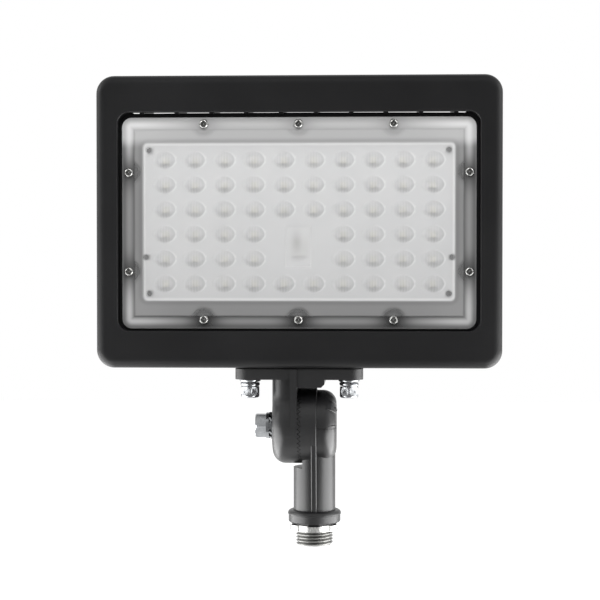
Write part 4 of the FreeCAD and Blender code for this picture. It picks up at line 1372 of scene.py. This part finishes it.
@dataclass
class ConduitEnd(SubAssembly):
    """Threaded nipple and its lock nut."""

    finishes: ClassVar[dict[str, Finish]] = {"locknut": CONDUIT_ZINC}
    pitch: float = 1.814
    depth: float = 1.25
    bore: float = 7.6
    bore_edge: float = 0.5
    crest: float = 10.5
    engaged: float = 10.15
    run_in: float = 0.6
    run_out: float = 0.5
    run_out_left: float = 0.3
    root_shade_and_grime: float = 0.6
    shade_and_grime_start: float = 0.45
    shade_and_grime_fade: float = 0.35
    thread_edge_deg: float = 50.0
    steps: int = 144
    rows_per_turn: int = 24

    def nipple(self) -> Surface:
        """Tube with a right-hand thread on its free end.

        The thread's radius is crest - depth * wave, where wave is a raised cosine along each pitch
        that moves on by one pitch for each turn. It fades in below the lock nut and out at the
        lower end, over parts of a pitch, and its roots hold painted shade with some grime.

        Returns:
            The tube as one closed skin.
        """
        low, high = (corner[2] for corner in box_mm("nipple"))
        angle = full_turn(self.steps)
        free = np.linspace(0.0, low, int(-low / self.pitch * self.rows_per_turn))
        phase = free[:, None] / self.pitch - angle[None] / (2 * np.pi)
        wave = 0.5 - 0.5 * np.cos(2 * np.pi * phase)
        leave = (free - low) / (self.run_out * self.pitch) + self.run_out_left
        fade = (smooth(-free / (self.run_in * self.pitch)) * smooth(leave))[:, None]
        thread = self.crest - self.depth * (wave * fade + (1 - fade))
        ends = np.array([[self.bore, high], [self.engaged, high], [self.engaged, 0.0]])
        tail = np.array([[self.bore + self.bore_edge, low], [self.bore, low + self.bore_edge],
                         [self.bore, high]])
        first, last = (carried(profile, self.steps) for profile in (ends, tail))
        radius = np.concatenate([first[..., 0], thread, last[..., 0]])
        height = np.concatenate([first[..., 1], carried(free, self.steps), last[..., 1]])
        shade_and_soil = np.zeros(radius.shape)
        # Painted shade with some grime in the thread's roots.
        roots = smooth((wave - self.shade_and_grime_start) / self.shade_and_grime_fade)
        shade_and_soil[len(ends):-len(tail)] = self.root_shade_and_grime * roots * fade
        tube = turned(radius, height, angle, UP, RIGHT)
        tube.values[ROLLED_ZINC.shade_and_grime] = shade_and_soil.ravel()
        return tube

    def build(self) -> None:
        """Builds the nipple with its helical thread."""
        placed(self.nipple().piece("threaded_nipple", ROLLED_ZINC, self.thread_edge_deg), Body.STEM,
               Slot.ZINC, "nipple")


@dataclass
class Softbox:
    """A soft lamp: its place and aim, its size and watts, and if it fills and shines."""

    name: str
    place: Triple
    aim: Triple
    width: float
    height: float
    watts: float
    fills: bool = True
    shines: bool = True

    def hang(self) -> None:
        """Adds the lamp to the scene."""
        lamp = bpy.data.lights.new(self.name, "AREA")
        lamp.shape = "RECTANGLE"
        lamp.size = self.width
        lamp.size_y = self.height
        lamp.energy = self.watts
        made = bpy.data.objects.new(self.name, lamp)
        made.location = self.place
        made.visible_diffuse = self.fills
        made.visible_glossy = self.shines
        way = Vector(self.aim) - Vector(self.place)
        made.rotation_euler = way.to_track_quat("-Z", "Y").to_euler()
        bpy.context.scene.collection.objects.link(made)


@dataclass
class Studio:
    """Pale floor, soft lamps, room and the camera at the photograph's angle; sizes in metres."""

    azimuth_deg: float = 2.45
    elevation_deg: float = 1.21
    target: Triple = (-0.0083, 0.0, 0.13094)
    distance: float = 0.876
    focal_px: float = 1534.4
    image_px: float = 600.0
    sensor_mm: float = 36.0
    floor_z: float = -0.28
    floor_half: float = 4.0
    floor_front: float = 0.2
    floor_colour: str = "#D0D0D0"
    floor_roughness: float = 0.9
    floor_lift: float = 0.55
    room: float = 0.98
    camera_corner: float = 0.42
    corner_turn: Pair = (-0.8, -0.25)
    corner_dip_deg: float = 20.0
    ceiling: float = 0.4
    ceiling_turn: Pair = (0.85, 0.99)
    behind_turn: Pair = (-0.1, 0.5)
    lamps: list[Softbox] = field(default_factory=lambda: [
        Softbox("low_left", (-0.485, -0.1, -0.12), (0.0, -0.1, 0.737), 0.8, 0.61, 9.8,
                fills=False),
        Softbox("low_right", (0.485, -0.1, -0.12), (0.0, -0.1, 0.737), 0.8, 0.61, 11.6,
                fills=False),
        Softbox("high_front", (0.0, -1.0, 1.1), (0.0, 0.0, 0.17), 1.4, 0.9, 19.8, shines=False),
        Softbox("side_left", (-1.2, -0.1, 0.63), (0.0, -0.1, 0.08), 0.8, 0.62, 4.7,
                fills=False),
        Softbox("side_right", (1.2, -0.1, 0.63), (0.0, -0.1, 0.08), 0.8, 0.62, 4.7,
                fills=False),
    ])

    def build(self) -> None:
        """Sets up floor, world, lamps, camera and the plain view transform."""
        self.floor()
        self.world()
        for lamp in self.lamps:
            lamp.hang()
        self.camera()
        bpy.context.scene.view_settings.view_transform = "Standard"

    def floor(self) -> None:
        """A wide pale floor below the light, which keeps the light's soft shadow.

        It shows white where a ray comes straight from the camera, off a mirror or through glass.
        """
        half, front = self.floor_half, self.floor_front
        mesh = bpy.data.meshes.new("pale_floor")
        corners = [(-half, -front), (half, -front), (half, half), (-half, half)]
        mesh.from_pydata([(*corner, self.floor_z) for corner in corners], [], [(0, 1, 2, 3)])
        paint = bpy.data.materials.new("pale_floor_paint")
        paint.use_nodes = True
        tree = paint.node_tree
        shader = tree.nodes["Principled BSDF"]
        shader.inputs["Base Color"].default_value = linear(self.floor_colour)
        shader.inputs["Roughness"].default_value = self.floor_roughness
        shader.inputs["Emission Color"].default_value = WHITE
        path = add_node(tree, "ShaderNodeLightPath")
        first = add_node(tree, "ShaderNodeMath", {"operation": "MAXIMUM"},
                         {0: path.outputs["Is Camera Ray"], 1: path.outputs["Is Glossy Ray"]})
        seen = add_node(tree, "ShaderNodeMath", {"operation": "MAXIMUM"},
                        {0: first.outputs["Value"], 1: path.outputs["Is Transmission Ray"]})
        lift = add_node(tree, "ShaderNodeMath", {"operation": "MULTIPLY", 1: self.floor_lift},
                        {0: seen.outputs["Value"]})
        tree.links.new(lift.outputs["Value"], shader.inputs["Emission Strength"])
        mesh.materials.append(paint)
        made = bpy.data.objects.new("pale_floor", mesh)
        bpy.context.scene.collection.objects.link(made)

    def world(self) -> None:
        """Soft light from the room's walls, dim from the camera's corner and the ceiling.

        The strength goes by the way that a ray leaves in. Behind the light, mirrors and glass see
        the same white that the camera sees.
        """
        room = bpy.data.worlds.new("studio_room")
        room.use_nodes = True
        tree = room.node_tree
        tree.nodes.clear()
        ray = add_node(tree, "ShaderNodeTexCoord").outputs["Generated"]
        way = add_node(tree, "ShaderNodeSeparateXYZ", None, {0: ray})
        dip = math.radians(self.corner_dip_deg)
        facing = add_node(tree, "ShaderNodeVectorMath",
                          {"operation": "DOT_PRODUCT", 1: (0.0, math.cos(dip), math.sin(dip))},
                          {0: ray})
        ranges = [(facing.outputs["Value"], self.corner_turn, (self.camera_corner, self.room)),
                  (way.outputs["Z"], self.ceiling_turn, (1.0, self.ceiling)),
                  (way.outputs["Y"], self.behind_turn, (0.0, 1.0))]
        corner, ceiling, behind = (
            add_node(tree, "ShaderNodeMapRange",
                     {"interpolation_type": "SMOOTHSTEP",
                      **dict(zip(RANGE_INPUTS, turn + strength))},
                     {"Value": source}).outputs["Result"]
            for source, turn, strength in ranges)
        path = add_node(tree, "ShaderNodeLightPath")
        soft = add_node(tree, "ShaderNodeMath", {"operation": "MULTIPLY"}, {0: corner, 1: ceiling})
        mirror = add_node(tree, "ShaderNodeMath", {"operation": "MAXIMUM"},
                          {0: path.outputs["Is Glossy Ray"],
                           1: path.outputs["Is Transmission Ray"]})
        shown = add_node(tree, "ShaderNodeMath", {"operation": "MULTIPLY"},
                         {0: mirror.outputs["Value"], 1: behind})
        level = add_node(tree, "ShaderNodeMath", {"operation": "MAXIMUM"},
                         {0: shown.outputs["Value"], 1: path.outputs["Is Camera Ray"]})
        strength = add_node(tree, "ShaderNodeMath", {"operation": "MAXIMUM"},
                            {0: level.outputs["Value"], 1: soft.outputs["Value"]})
        light = add_node(tree, "ShaderNodeBackground", {"Color": WHITE},
                         {"Strength": strength.outputs["Value"]})
        add_node(tree, "ShaderNodeOutputWorld", None, {"Surface": light.outputs["Background"]})
        bpy.context.scene.world = room

    def camera(self) -> None:
        """Camera on a sphere round the target, with the photograph's field of view."""
        azimuth, elevation = math.radians(self.azimuth_deg), math.radians(self.elevation_deg)
        level = math.cos(elevation)
        back = Vector((math.sin(azimuth) * level, -math.cos(azimuth) * level, math.sin(elevation)))
        lens = bpy.data.cameras.new("photo_camera")
        lens.sensor_width = self.sensor_mm
        lens.lens = self.focal_px / self.image_px * self.sensor_mm
        made = bpy.data.objects.new("photo_camera", lens)
        made.location = Vector(self.target) + self.distance * back
        made.rotation_euler = (-back).to_track_quat("-Z", "Y").to_euler()
        bpy.context.scene.collection.objects.link(made)
        bpy.context.scene.camera = made


def main() -> None:
    """Builds and dresses every sub-assembly and sets up the studio."""
    logging.basicConfig(level=logging.INFO, format="%(name)s: %(message)s")
    for group in (Housing(), LightBoard(), LensCover(), Knuckle(), ConduitEnd()):
        group.dress()
        group.build()
    Studio().build()


if __name__ == "__main__":
    main()
